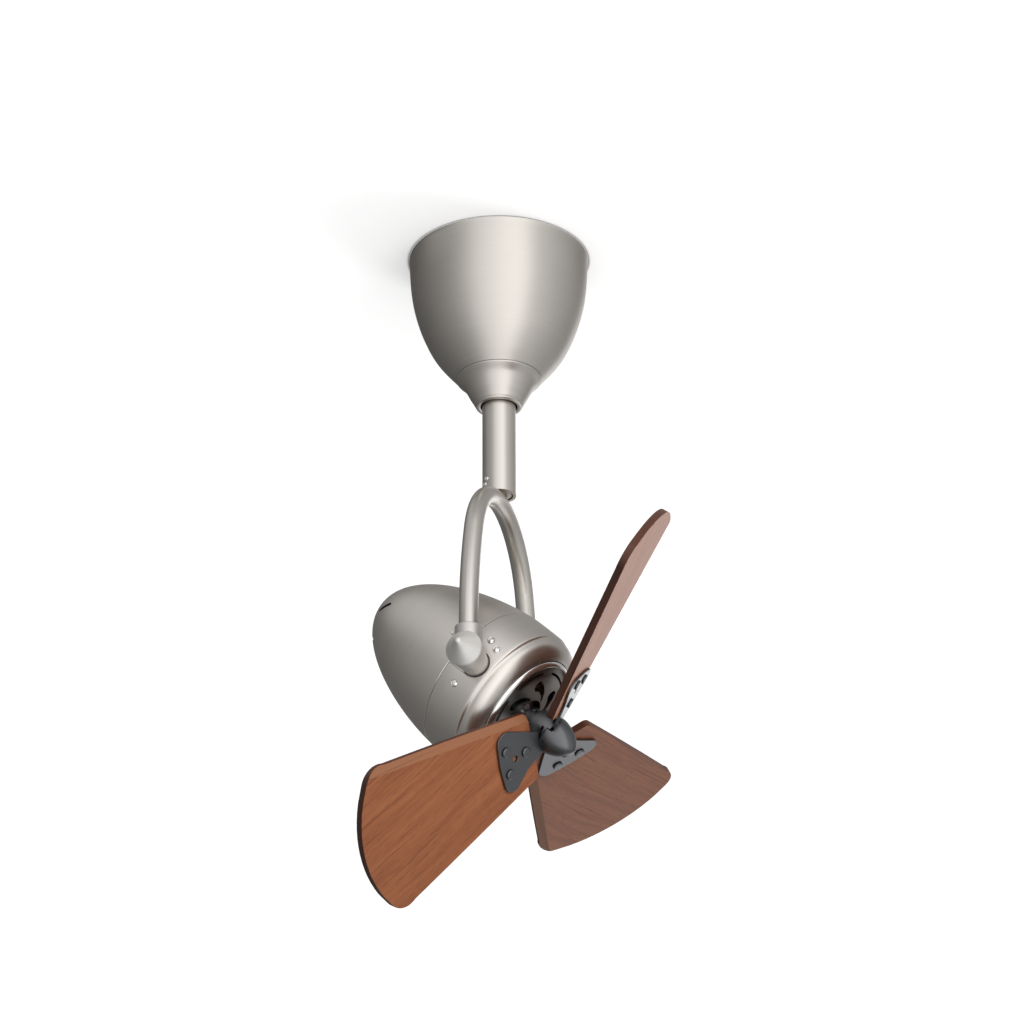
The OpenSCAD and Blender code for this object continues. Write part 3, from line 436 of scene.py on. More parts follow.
def boxOutline(halfX, halfY):
    return [(-halfX, -halfY), (halfX, -halfY), (halfX, halfY), (-halfX, halfY)]


def barMesh(start, end, radius, segments=32):
    # a straight round bar between two points in millimetres
    a, b = Vector(start) * mm, Vector(end) * mm
    turn = (b - a).to_track_quat("Z", "Y").to_matrix().to_4x4()
    length = (b - a).length / mm
    profile = [(0, 0), (radius, 0), (radius, length), (0, length)]
    return turnedMesh(profile, Matrix.Translation(a) @ turn, segments)


def baked(piece):
    # the evaluated shape takes the place of the modifiers
    graph = bpy.context.evaluated_depsgraph_get()
    graph.update()
    mesh = bpy.data.meshes.new_from_object(piece.evaluated_get(graph))
    piece.modifiers.clear()
    piece.data = mesh


def carve(piece, cutterMeshes, operation="DIFFERENCE"):
    cutters = [linked("cutter", mesh) for mesh in cutterMeshes]
    for cutter in cutters:
        tool = piece.modifiers.new("carve", "BOOLEAN")
        tool.operation, tool.solver, tool.object = operation, "EXACT", cutter
    bpy.context.view_layer.update()
    baked(piece)
    for cutter in cutters:
        bpy.data.objects.remove(cutter)


def joined(meshes):
    shape = bmesh.new()
    for mesh in meshes:
        shape.from_mesh(mesh)
    return meshFrom(shape, "joined", outward=False)


def softened(piece, width, angle):
    tool = piece.modifiers.new("soften", "BEVEL")
    tool.width, tool.segments, tool.angle_limit = width * mm, 3, math.radians(angle)
    tool.harden_normals = False
    baked(piece)


def framed(piece, width, smallest):
    # a thin band inside each flat face over the smallest area keeps its shading flat
    shape = bmesh.new()
    shape.from_mesh(piece.data)
    for face in [f for f in shape.faces if f.calc_area() > smallest * mm * mm]:
        bmesh.ops.inset_individual(shape, faces=[face], thickness=width * mm, use_even_offset=False)
    shape.to_mesh(piece.data)
    shape.free()


# ---- canopy and collar ----

# the shares are (of the depth, of the way from neck to rim), and the edge is (inwards, height)
canopySize = {"rim": 76.2, "depth": 113.4, "neck": 35.8, "hole": 23.0, "wall": 1.4,
              "edge": [(0.25, 0.0), (0.0, -0.25), (0.0, -1.0), (0.1, -1.3), (0.35, -1.9)],
              "shares": [(0, 1), (0.132, 0.978), (0.265, 0.948), (0.397, 0.888), (0.529, 0.79),
                         (0.635, 0.682), (0.741, 0.548), (0.829, 0.397), (0.917, 0.202), (1, 0)]}


def makeCanopy():
    c = canopySize
    wide = c["rim"] - c["neck"]
    wall, depth = c["wall"], c["depth"]
    outer = [(c["neck"] + wide * s, -depth * d) for d, s in c["shares"]]
    edge = [(c["rim"] - inwards, height) for inwards, height in c["edge"]]
    inner = [(c["neck"] - wall + wide * s, -depth * d + wall * 0.6 * d * d) for d, s in c["shares"]]
    inside = [(c["hole"], -depth), (c["hole"], -depth + wall), (c["neck"] - 2 * wall, -depth + wall)]
    profile = edge[:-1] + flowing(edge[-1:] + outer[1:]) + inside + list(reversed(flowing(inner, 4)))
    piece = place("canopyShell", turnedMesh(profile, segments=224), "canopyNickel", 25)
    put(piece, "ceiling_side", "canopy")


# the edge is (inwards, height) from the seam; the flare's shares run from the lip out and from the top down
collarSize = {"seam": 35.8, "top": -113.4, "bottom": -140.4, "lip": 19.6, "bore": 15.1, "tube": 20.0,
              "step": -124.4, "lipRound": 1.6, "lipTop": 1.7, "foot": 1.6, "boreRound": 1.3,
              "edge": [(0.9, 0.0), (0.3, -0.15), (0.0, -0.6), (0.15, -1.0)],
              "flare": [(0.06, 0.955), (0.25, 0.645), (0.42, 0.47), (0.6, 0.32), (0.78, 0.15), (0.9, 0.05)]}


def makeCollar():
    c = collarSize
    drop = c["top"] - c["bottom"]
    lipRound, boreRound = c["lipRound"], c["boreRound"]
    flare = [(c["lip"] + (c["seam"] - c["lip"]) * s, c["top"] - drop * d) for d, s in c["flare"]]
    outside = ([(c["seam"] - inwards, c["top"] + height) for inwards, height in c["edge"]]
               + flowing(flare + [(c["lip"], c["bottom"] + c["lipTop"])], 6)
               + arc((c["lip"] - lipRound, c["bottom"] + lipRound), lipRound, lipRound, -8, -90, 5)
               + [(c["bore"] + c["foot"], c["bottom"])]
               + arc((c["bore"] + boreRound, c["bottom"] + boreRound), boreRound, boreRound, -100, -180, 4))
    inside = [(c["bore"], c["step"]), (c["tube"], c["step"]), (c["tube"], c["top"])]
    piece = place("collarFlare", turnedMesh(outside + inside), "canopyNickel", 28)
    put(piece, "ceiling_side", "canopy_collar")


makeCanopy()
makeCollar()
print("canopy and collar made")


# ---- motor head shells ----

# heights run forward from the pivot; the cove is (inwards, height), the mouth (out, back) from the ring
headSize = {"radius": 65.5, "belt": -10.4, "rear": -132.7, "seam": -20.0, "power": 1.62, "round": 2.11,
            "wall": 1.8, "skin": 1.3, "shoulder": 15.0, "taper": 0.6, "ringRadius": 49.4, "ringAt": 28.3,
            "notch": 11.4, "notchGap": 0.3, "seamDrop": 0.35, "seamGap": 0.15, "seamEdge": 0.6,
            "spigotOut": 63.65, "spigotIn": 61.95, "spigotTo": 8.0, "spigotRoot": 3,
            "beltHeights": (-16, -12, -8, -4, 0, 4, 8, 11), "beltEnd": 13.2,
            "cove": [(0.25, 14.0), (1.05, 14.7), (1.5, 15.6), (1.75, 16.6)],
            "mouth": [(0.4, 0.3), (0.4, 3), (-4.5, 3), (-4.5, 5), (3, 5.4)], "shoulderRoom": 0.5,
            "inside": [(60.7, 18.0), (63.0, 14.0), (63.7, 9.0)], "tongueSteps": 16}
slotSize = {"count": 6, "first": 188, "at": 31.0, "lean": -55.0, "reach": 5.4, "half": 1.4, "from": -4,
            "to": 36}
# the shell screws' spots are (height, angle round the head)
shellScrews = {"spots": [(-5, 160), (-5, 200), (4.5, 163), (-5, 20), (-5, -20), (4.5, 17)],
               "seat": 0.4, "hole": 3.3, "radius": 3.0}


def domeRadius(z, inset=0.0):
    h = headSize
    if z > h["belt"]:
        return h["radius"] - inset - h["taper"] * ((z - h["belt"]) / (h["shoulder"] - h["belt"])) ** 2
    share = (h["belt"] - z) / (h["belt"] - h["rear"] - inset)
    return (h["radius"] - inset) * max(0.0, 1 - share ** h["power"]) ** (1 / h["round"])


def pivotHole(radius):
    return barMesh((-90, 0, layout["pivotZ"]), (90, 0, layout["pivotZ"]), radius, 96)


def headPoint(angle, radius, z):
    turn = math.radians(angle)
    return headAxes @ Vector((radius * math.cos(turn) * mm, radius * math.sin(turn) * mm, z * mm))


def paintInnerShade(piece, middle):
    # faces that don't look away from the middle get a near-black painted shade for the unlit inside of the
    # head, and so does the rear spigot, whose painted shade darkens the seam gap
    h = headSize
    mesh = piece.data
    mesh.materials.clear()
    mesh.materials.append(finishes["headNickel"])
    mesh.materials.append(finishes["blackInside"])
    back = headAxes.inverted()
    turn = back.to_3x3()
    for face in mesh.polygons:
        centre = back @ face.center
        away = (centre - Vector((0, 0, middle * mm))).normalized()
        isOuter = away.dot(turn @ face.normal) > 0.5
        isSpigot = (middle < h["seam"] and centre.z > (h["seam"] - 0.01) * mm
                    and math.hypot(centre.x, centre.y) < (h["radius"] - h["skin"]) * mm)
        face.material_index = 0 if isOuter and not isSpigot else 1


def slotMesh(index):
    s = slotSize
    turn = turned(s["first"] + 360 / s["count"] * index, "Z")
    axes = headAxes @ turn @ moved(s["at"], 0, 0) @ turned(s["lean"], "Z")
    outline = []
    for end, start in ((-1, 90), (1, -90)):
        outline += arc((end * s["reach"], 0), s["half"], s["half"], start, start + 180, 9)
    return prismMesh(outline, headSize["rear"] + s["from"], headSize["rear"] + s["to"], axes)


def tongueMesh(side):
    # a curved plate that closes one of the front shell's notches
    h = headSize
    steps = h["tongueSteps"]
    reach = math.degrees(math.asin(h["notch"] / h["radius"]))
    shape = bmesh.new()
    grid = [[[shape.verts.new(headPoint(side - reach + 2 * reach * k / steps, radius, z))
              for k in range(steps + 1)] for z in (h["seam"] - 1, 0.0)]
            for radius in (h["spigotIn"] + 0.5, h["radius"] - 0.15)]
    for layer in grid:
        bridge(shape, *layer, closed=False)
    for end in (0, 1):
        bridge(shape, grid[0][end], grid[1][end], closed=False)
    for end in (0, steps):
        shape.faces.new([grid[0][0][end], grid[0][1][end], grid[1][1][end], grid[1][0][end]])
    return meshFrom(shape, "tongue")


def spread(start, end, steps, power):
    # heights from near the start to the end, closer together near the start
    return [start + (end - start) * (k / steps) ** power for k in range(1, steps + 1)]


def makeRearShell():
    h = headSize
    rear, seam, wall = h["rear"], h["seam"], h["wall"]
    seamIn = seam - h["spigotRoot"]
    outer = spread(rear, seam, 60, 1.9)[:-1]
    inner = spread(rear + wall, seamIn, 30, 1.8)[::-1]
    profile = ([(0.0, rear)] + [(domeRadius(z), z) for z in outer]
               + [(domeRadius(seam - h["seamEdge"]), seam - h["seamEdge"]),
                  (domeRadius(seam) - h["seamDrop"], seam - h["seamGap"])]
               + [(h["spigotOut"], seam), (h["spigotOut"], h["spigotTo"]), (h["spigotIn"], h["spigotTo"]),
                  (h["spigotIn"], seamIn)]
               + [(min(domeRadius(z, wall), h["spigotIn"] - 0.02), z) for z in inner]
               + [(0.0, rear + wall)])
    piece = place("rearDome", turnedMesh(profile, headAxes, 224), "headNickel")
    carve(piece, [joined([slotMesh(index) for index in range(slotSize["count"])]), pivotHole(h["notch"])])
    tongues = place("tonguePlates", joined([tongueMesh(side) for side in (0, 180)]), "headNickel")
    carve(tongues, [pivotHole(h["notch"])])
    piece.data = joined([piece.data, tongues.data])
    bpy.data.objects.remove(tongues)
    # the inside and the rear spigot get painted shade
    paintInnerShade(piece, -40)
    smoothed(piece, 28)
    put(piece, "head", "rear_shell")


def makeFrontShell():
    h = headSize
    seam, ringRadius, ringAt = h["seam"], h["ringRadius"], h["ringAt"]
    edge = domeRadius(h["shoulder"])
    belt = [(domeRadius(seam) - h["seamDrop"], seam + h["seamGap"])] + [
        (domeRadius(z), z) for z in (seam + h["seamEdge"], *h["beltHeights"], h["beltEnd"])]
    cove = flowing(belt[-1:] + [(edge - inwards, z) for inwards, z in h["cove"]], 4)[1:]
    inwards, start = h["cove"][-1]
    middle = ringRadius + h["shoulderRoom"]
    shoulder = arc((middle, start), edge - inwards - middle, ringAt - start, 4, 90, 22)
    mouth = [(ringRadius + out, ringAt - back) for out, back in h["mouth"]]
    profile = belt + cove + shoulder + mouth + h["inside"] + [(h["inside"][-1][0], seam)]
    piece = place("frontShell", turnedMesh(profile, headAxes, 256), "headNickel")
    gap = h["notch"] + h["notchGap"]
    carve(piece, [pivotHole(gap), prismMesh(boxOutline(80, gap), seam - 3, 0, headAxes)])
    holes = [barMesh(headPoint(angle, h["radius"] - shellScrews["seat"], z) / mm,
                     headPoint(angle, h["radius"] + 9, z) / mm, shellScrews["hole"])
             for z, angle in shellScrews["spots"]]
    carve(piece, [joined(holes)])
    # the inside of the front shell gets painted shade
    paintInnerShade(piece, -10)
    smoothed(piece, 26)
    put(piece, "head", "front_shell")


# the ring's section as (inwards, height) from its outer edge
ringSize = {"back": -3, "crown": [(0, -0.5), (0.25, 0.7), (1.1, 2.0), (2.2, 2.8), (3.1, 3.1)],
            "lip": [(3.55, 2.9), (3.7, 2.4)]}


def makeFrontRing():
    r, z = headSize["ringRadius"], headSize["ringAt"]
    crown, lip = ([(r - inwards, z + height) for inwards, height in ringSize[name]]
                  for name in ("crown", "lip"))
    back = z + ringSize["back"]
    outline = [(r, back)] + flowing(crown, 6) + lip + [(lip[-1][0], back)]
    piece = place("frontRing", turnedMesh(outline, headAxes, 224), "polishedRing", 32)
    put(piece, "head", "front_ring")


makeRearShell()
makeFrontShell()
makeFrontRing()
print("head shells made")


# ---- knuckles and caps ----

knuckleSize = {"leg": 84.6, "rim": 96.3, "inner": 61.2, "radius": 14.7, "innerRadius": 9.8, "socket": 11.0,
               "socketHigh": 23.4, "edge": 1.1, "barrelEdge": [(0.05, 0.5), (0.4, 0)], "screwUp": 20.0,
               "screwSeat": 10.9, "screwHole": 3.0}
# the cap's rim is (inwards, up), its cone shares of radius and height, its point (share of tip, under top)
capSize = {"spigot": 9.0, "high": 18.0, "tip": 2.6, "rim": [(0.25, 0), (0, 0.25), (0.1, 0.7), (0.35, 1.1)],
           "cone": [(0.72, 0.33), (0.42, 0.64)], "point": [(1, 1.5), (0.55, 0.45), (0, 0)]}


def sideAxes(side):
    return pivotAxes @ turned(90 * side, "Y")


def makeKnuckle(side, name, node):
    k = knuckleSize
    socketAxes = moved(side * k["leg"], 0, layout["pivotZ"])
    profile = ([(0, 0), (k["socket"], 0)]
               + arc((k["socket"] - k["edge"], k["socketHigh"] - k["edge"]), k["edge"], k["edge"], 0, 90, 5)
               + [(0, k["socketHigh"])])
    piece = place(name, turnedMesh(profile, socketAxes, 128), "knuckleNickel")
    barrelEdge = [(k["radius"] - inwards, k["rim"] - back) for inwards, back in k["barrelEdge"]]
    barrel = [(0, k["inner"]), (k["innerRadius"], k["inner"]), *barrelEdge, (0, k["rim"])]
    carve(piece, [turnedMesh(barrel, sideAxes(side), 160)], "UNION")
    screwZ = layout["pivotZ"] + k["screwUp"]
    carve(piece, [barMesh((side * k["leg"], k["screwSeat"], screwZ), (side * k["leg"], 30, screwZ),
                          k["screwHole"])])
    smoothed(piece, 24)
    put(piece, "swivel", node)


def makeCap(side, name, node):
    c, foot, radius = capSize, knuckleSize["rim"], knuckleSize["radius"]
    rim = [(radius - inwards, foot + up) for inwards, up in c["rim"]]
    cone = [(radius * wide, foot + c["high"] * up) for wide, up in c["cone"]]
    point = [(c["tip"] * wide, foot + c["high"] - down) for wide, down in c["point"]]
    outline = [(0.0, foot - 2), (c["spigot"], foot - 2), (c["spigot"], foot)] + rim[:-1]
    outline += flowing(rim[-1:] + cone + point, 6)
    piece = place(name, turnedMesh(outline, sideAxes(side), 128), "castNickel", 32)
    put(piece, "swivel", node)


makeKnuckle(-1, "knuckleNear", "knuckle_left")
makeKnuckle(1, "knuckleFar", "knuckle_right")
makeCap(-1, "capNear", "pivot_cap_left")
makeCap(1, "capFar", "pivot_cap_right")
print("knuckles and caps made")


# ---- blades and irons ----

def roundedOutline(corners, steps=8):
    # corners are (x, y, radius); each radius becomes an arc
    points = []
    for i, (x, y, radius) in enumerate(corners):
        here = Vector((x, y))
        if radius <= 0:
            points.append((x, y))
            continue
        before = (Vector(corners[i - 1][:2]) - here).normalized()
        after = (Vector(corners[(i + 1) % len(corners)][:2]) - here).normalized()
        half = before.angle(after) / 2
        centre = here + (before + after).normalized() * radius / math.sin(half)
        start = here + before * radius / math.tan(half) - centre
        end = here + after * radius / math.tan(half) - centre
        a0 = math.atan2(start.y, start.x)
        turn = math.atan2(start.x * end.y - start.y * end.x, start.dot(end))
        for k in range(steps + 1):
            a = a0 + turn * k / steps
            points.append((centre.x + radius * math.cos(a), centre.y + radius * math.sin(a)))
    return points


def closedOutline(low, tip, high, steps=8):
    # both sides are given outwards from the root as (x, half width, radius); the low side lies at -y
    return roundedOutline([(x, -y, r) for x, y, r in low] + [tip] + high[::-1], steps)


bladeSize = {"sweep": 203.2, "root": 20.0, "rootHalf": 29.0, "rootCorner": 5, "tipHalf": 63.5,
             "tipArc": 102.0, "tipLong": 27, "corner": 17.0, "bow": 2.0, "thick": 6.0, "bevelWide": 8.0,
             "bevelDeep": 3.0, "bevelShift": 1.4, "soften": 1.3, "band": 0.15, "grain": 12.0,
             "grainStep": (0.0, 0.13, 0.11), "sideShort": 12, "cornerIn": 2, "cornerLong": 1.2,
             "cornerWide": 3.4, "flat": 0.985, "steep": 0.6}


def bladeOutline():
    b = bladeSize
    reach = b["sweep"] - b["tipLong"]
    sideEnd = reach - b["sideShort"]

    def halfAt(r):
        u = (r - b["root"]) / (reach - b["root"])
        return b["rootHalf"] + (b["tipHalf"] - b["rootHalf"]) * u + b["bow"] * u * (1 - u)

    def tipAt(w):
        return b["sweep"] - b["tipArc"] + math.sqrt(b["tipArc"] ** 2 - w * w)

    side = [b["root"] + (sideEnd - b["root"]) * i / 12 for i in range(1, 13)]
    half = [(b["root"], b["rootHalf"], b["rootCorner"])] + [(r, halfAt(r), 0) for r in side]
    half += [(tipAt(b["tipHalf"] + b["cornerIn"]) + b["cornerLong"], b["tipHalf"] + b["cornerWide"],
              b["corner"])]
    half += [(tipAt(w), w, 0) for w in range(42, 0, -7)]
    return closedOutline(half, (tipAt(0), 0, 0), half, 12)


def bevelNormal():
    # the way that the blade's bevelled edge faces
    b = bladeSize
    lean = math.atan2(b["tipHalf"] - b["rootHalf"], b["sweep"] - b["tipLong"] - b["root"])
    along = Vector((math.cos(lean), -math.sin(lean), 0))
    inward = Vector((math.sin(lean), math.cos(lean), 0))
    normal = along.cross(inward * b["bevelWide"] + Vector((0, 0, b["bevelDeep"]))).normalized()
    return normal if normal.z > 0 else -normal


def makeBlade(index, name, node):
    b = bladeSize
    mesh = prismMesh(bladeOutline(), -b["thick"], 0)
    shape = bmesh.new()
    shape.from_mesh(mesh)
    normal = bevelNormal()
    foot = Vector((b["root"], -b["rootHalf"] - b["bevelShift"], -b["bevelDeep"])) * mm
    cut = bmesh.ops.bisect_plane(shape, geom=shape.verts[:] + shape.edges[:] + shape.faces[:], dist=1e-7,
                                 plane_co=foot, plane_no=normal, clear_outer=True)
    edges = [e for e in cut["geom_cut"] if isinstance(e, bmesh.types.BMEdge)]
    bmesh.ops.contextual_create(shape, geom=edges)
    piece = place(name, meshFrom(shape, "blade"), "stainedWood")
    softened(piece, b["soften"], 12)
    framed(piece, b["band"], 300)
    mesh = piece.data
    grain = mesh.attributes.new("grain", "FLOAT_VECTOR", "POINT")
    offset = Vector(b["grainStep"]) * index
    lean = turned(-b["grain"], "Z")
    for i, vertex in enumerate(mesh.vertices):
        grain.data[i].vector = lean @ vertex.co + offset
    tone = mesh.attributes.new("tone", "FLOAT", "FACE")
    for i, face in enumerate(mesh.polygons):
        up = face.normal.z
        isBevel = face.normal.dot(normal) > b["flat"] and up < b["flat"]
        tone.data[i].value = 1.0 if isBevel else (-1.0 if abs(up) < b["steep"] else 0.0)
    mesh.transform(bladeAxes(index))
    smoothed(piece, 14)
    put(piece, "rotor", node)


# outline points are (x, half width, radius); the low side has the brow, and the high side the waist
ironSize = {"neck": [(8, 8.7, 0), (14, 9.7, 6)], "brow": (30, 18.5, 0), "waist": (30, 14.5, 20),
            "head": [(47.0, 27.3, 7), (56.6, 24.0, 8)], "tip": (58.6, 0, 60), "thick": 2.2,
            "hole": 42.0, "holeRadius": 2.7, "soften": 0.35, "band": 0.08,
            "rivets": [(50.0, -10.2), (50.0, 10.2), (30.3, 0.0)], "rivetRadius": 4.4, "rivetHigh": 1.9,
            "rivetSunk": 0.1}


def ironOutline():
    t = ironSize
    low, high = (t["neck"] + [t[middle]] + t["head"] for middle in ("brow", "waist"))
    return closedOutline(low, t["tip"], high)


def ironMesh(index):
    t = ironSize
    piece = place("iron", prismMesh(ironOutline(), 0, t["thick"]), "charcoal")
    carve(piece, [barMesh((t["hole"], 0, -2), (t["hole"], 0, 6), t["holeRadius"])])
    softened(piece, t["soften"], 30)
    framed(piece, t["band"], 200)
    mesh = piece.data
    mesh.transform(bladeAxes(index))
    bpy.data.objects.remove(piece)
    return mesh


def makeIrons():
    piece = place("bladeIrons", joined([ironMesh(index) for index in range(layout["blades"])]), "charcoal")
    put(piece, "rotor", "blade_irons")


for index in range(layout["blades"]):
    makeBlade(index, "blade" + "ABC"[index], "blade_%d" % (index + 1))
makeIrons()
print("blades and irons made")


# ---- rivets and screws, scattered by geometry nodes ----

class Graph(Nodes):
    # a geometry tree with named inputs
    def __init__(self, name):
        super().__init__(bpy.data.node_groups.new(name, "GeometryNodeTree"))
        for way in ("INPUT", "OUTPUT"):
            self.tree.interface.new_socket("Geometry", in_out=way, socket_type="NodeSocketGeometry")
        self.start = self.tree.nodes.new("NodeGroupInput")

    def size(self, name, kind):
        self.tree.interface.new_socket(name, in_out="INPUT", socket_type=kind)
        return Wire(self.tree, self.start.outputs[name])

    def scatter(self, head, material, **more):
        # sets the head on each point, turned along the point's "aim"
        aim = self.node("GeometryNodeInputNamedAttribute", {"data_type": "FLOAT_VECTOR"}, {"Name": "aim"})
        turn = self.node("FunctionNodeAlignRotationToVector", {"axis": "Z"}, {"Vector": aim})
        points = Wire(self.tree, self.start.outputs[0])
        heads = self.node("GeometryNodeInstanceOnPoints", None, {
            "Points": points, "Instance": head, "Rotation": turn, **more})
        real = self.node("GeometryNodeRealizeInstances", None, {0: heads})
        dressed = self.node("GeometryNodeSetMaterial", None, {0: real, "Material": material})
        self.close(dressed, "NodeGroupOutput")
        return self.tree


def scattered(name, spots, tree, values, sharp=30.0):
    # spots are (point, direction, scale)
    mesh = bpy.data.meshes.new(name)
    mesh.from_pydata([tuple(p) for p, aim, scale in spots], [], [])
    mesh.attributes.new("aim", "FLOAT_VECTOR", "POINT")
    mesh.attributes.new("grow", "FLOAT", "POINT")
    for i, (p, aim, scale) in enumerate(spots):
        mesh.attributes["aim"].data[i].vector = aim
        mesh.attributes["grow"].data[i].value = scale
    piece = linked(name, mesh)
    tool = piece.modifiers.new("scatter", "NODES")
    tool.node_group = tree
    for item in tree.interface.items_tree:
        if item.item_type == "SOCKET" and item.in_out == "INPUT" and item.name in values:
            tool[item.identifier] = values[item.name]
    baked(piece)
    return smoothed(piece, sharp)


def rivetTree():
    graph = Graph("rivetHeads")
    radius = graph.size("Head Radius", "NodeSocketFloat")
    height = graph.size("Head Height", "NodeSocketFloat")
    body = graph.node("GeometryNodeMeshCylinder", None, {
        "Vertices": 28, "Side Segments": 1, "Fill Segments": 2, "Radius": radius, "Depth": height})
    domed = graph.node("GeometryNodeSubdivisionSurface", None, {"Mesh": body, "Level": 2})
    lift = graph.node("ShaderNodeCombineXYZ", None, {"Z": height * 0.5})
    raised = graph.node("GeometryNodeTransform", None, {"Geometry": domed, "Translation": lift})
    return graph.scatter(raised, finishes["charcoal"])


def screwTree():
    graph = Graph("screwHeads")
    head = graph.size("Head", "NodeSocketObject")
    grow = graph.node("GeometryNodeInputNamedAttribute", {"data_type": "FLOAT"}, {"Name": "grow"})
    shape = graph.node("GeometryNodeObjectInfo", None, {"Object": head}, "Geometry")
    return graph.scatter(shape, finishes["brightScrew"], Scale=grow)


def makeRivets():
    t = ironSize
    spots = []
    for index in range(layout["blades"]):
        axes = bladeAxes(index)
        up = axes.to_3x3() @ zAxis
        for x, y in t["rivets"]:
            for side, z in ((1, t["thick"] - t["rivetSunk"]), (-1, t["rivetSunk"] - bladeSize["thick"])):
                spots.append((axes @ Vector((x * mm, y * mm, z * mm)), up * side, 1.0))
    sizes = {"Head Radius": t["rivetRadius"] * mm, "Head Height": t["rivetHigh"] * mm}
    piece = scattered("rivetHeads", spots, rivetTree(), sizes, 40)
    put(piece, "rotor", "blade_rivets")


# a pan head of one millimetre radius: its foot's height, two arcs, and its cross recess
panHead = {"foot": -0.25, "edge": ((0.72, 0.1), 0.28, 0.34, 0, 60, 5),
           "crown": ((0, -0.9), 1.42, 1.5, 55, 90, 6), "cross": (0.55, 0.11), "crossFrom": 0.2,
           "crossTo": 1.0}
# the plug screws' spots are (angle, height over the stem's end); each radius scales the head
smallScrews = {"knuckleRadius": 2.2, "knuckleLift": 2.0, "plugRadius": 2.1, "plugSeat": 13.6,
               "plugSpots": [(140, 7.2), (149, 11.5)]}


def screwHead():
    p = panHead
    profile = [(0, p["foot"]), (1.0, p["foot"])] + arc(*p["edge"]) + arc(*p["crown"])
    piece = place("panHead", turnedMesh(profile, segments=40), "brightScrew")
    carve(piece, [prismMesh(boxOutline(*half), p["crossFrom"], p["crossTo"])
                  for half in (p["cross"], p["cross"][::-1])])
    return smoothed(piece)


def makeScrews():
    values = {"Head": screwHead()}
    tree = screwTree()
    spots = []
    for z, angle in shellScrews["spots"]:
        base = headPoint(angle, headSize["radius"] - shellScrews["seat"], z)
        spots.append((base, (headPoint(angle, 80, z) - base).normalized(), shellScrews["radius"]))
    put(scattered("shellScrewHeads", spots, tree, values), "head", "shell_screws")
    k, s = knuckleSize, smallScrews
    height, out = layout["pivotZ"] + k["screwUp"], Vector((0, 1, 0))
    spots = [(Vector((side * k["leg"], k["screwSeat"] + s["knuckleLift"], height)) * mm, out,
              s["knuckleRadius"]) for side in (-1, 1)]
    put(scattered("knuckleScrewHeads", spots, tree, values), "swivel", "knuckle_screws")
    spots = []
    for angle, height in s["plugSpots"]:
        out = Vector((math.cos(math.radians(angle)), math.sin(math.radians(angle)), 0))
        base = out * s["plugSeat"] * mm + Vector((0, 0, (layout["stemEnd"] + height) * mm))
        spots.append((base, out, s["plugRadius"]))
    put(scattered("plugScrewHeads", spots, tree, values), "swivel", "plug_screws")
    bpy.data.objects.remove(values["Head"])


makeRivets()
makeScrews()
print("rivets and screws made")


# ---- spinner ----

# the fork is the cut that lets each iron's neck into the spinner
spinnerSize = {"radius": 15.6, "length": 25.0, "base": 58.7, "edge": 0.7, "steps": 40, "spread": 0.8,
               "power": 1.7, "blunt": 0.62}
forkSize = {"from": 7, "to": 27, "wide": 20, "low": -8, "high": 2.2}


def makeSpinner():
    s, f = spinnerSize, forkSize
    start = s["edge"] + 0.1
    outline = [(0.0, s["base"]), (s["radius"] - start, s["base"])]
    outline += arc((s["radius"] - s["edge"], s["base"] + s["edge"]), s["edge"], s["edge"], -80, -10, 4)
    for k in range(1, s["steps"]):
        u = (k / s["steps"]) ** s["spread"]
        outline.append((s["radius"] * (1 - u ** s["power"]) ** s["blunt"],
                        s["base"] + start + (s["length"] - start) * u))
    outline.append((0.0, s["base"] + s["length"]))
    piece = place("spinnerDome", turnedMesh(outline, headAxes, 160), "spinnerPaint")
    fork = [(f["from"], 0), (f["to"], 0), (f["to"], f["wide"]), (f["from"], f["wide"])]
    for index in range(layout["blades"]):
        carve(piece, [prismMesh(fork, f["low"], f["high"], bladeAxes(index))])
    smoothed(piece)
    put(piece, "rotor", "spinner")


makeSpinner()
print("spinner made")


# ---- camera ----

# distances in metres; "focal", "at" and "image" in the photograph's pixels
photoView = {"azimuth": -73.16, "elevation": -24.85, "distance": 2.836, "aim": (0, 0, -0.3), "focal": 3477.0,
             "at": (499.36, 581.16), "roll": -0.17, "image": 1024, "sensor": 36.0}


def direction(azimuth, elevation):
    # the way from the fan to a viewer; azimuth 0 is in front, on the -Y side
    a, e = math.radians(azimuth), math.radians(elevation)
    return Vector((math.sin(a) * math.cos(e), -math.cos(a) * math.cos(e), math.sin(e)))


def towards(azimuth, elevation):
    # a direction from the fan: azimuth counts from the camera's side towards the picture's right
    return direction(azimuth + photoView["azimuth"], elevation)


def makeCamera():
    view = photoView
    back = direction(view["azimuth"], view["elevation"])
    right = direction(view["azimuth"] + 90, 0)
    up = back.cross(right)
    eye = Vector(view["aim"]) + back * view["distance"]
    dx, dy = ((at - view["image"] / 2) / view["focal"] for at in view["at"])
    w = (back + right * dx - up * dy).normalized()
    r = (right - w * right.dot(w)).normalized()
    u = w.cross(r)
    t = math.radians(view["roll"])
    r, u = math.cos(t) * r + math.sin(t) * u, -math.sin(t) * r + math.cos(t) * u
    lens = bpy.data.cameras.new("photoCamera")
    lens.sensor_width = view["sensor"]
    lens.lens = view["focal"] * view["sensor"] / view["image"]
    lens.clip_end = 30
    camera = linked("photoCamera", lens)
    camera.matrix_world = Matrix(((r.x, u.x, w.x, eye.x), (r.y, u.y, w.y, eye.y), (r.z, u.z, w.z, eye.z),
                                  (0, 0, 0, 1)))
    bpy.context.scene.camera = camera


# ---- ceiling ----

# "shade" is how far the painted shadow, cast away from the light, reaches, "depth" how dark it gets, and
# "contact" how wide the painted contact shadow round the canopy is; lengths in millimetres
ceilingLook = {"hole": 76.3, "middle": 400.0, "reach": 14000.0, "segments": 128, "glow": 0.76, "paint": 0.85,
               "shade": 150.0, "depth": 0.85, "contact": 2.4, "contactShadowLevel": 0.2, "light": (125, -35)}


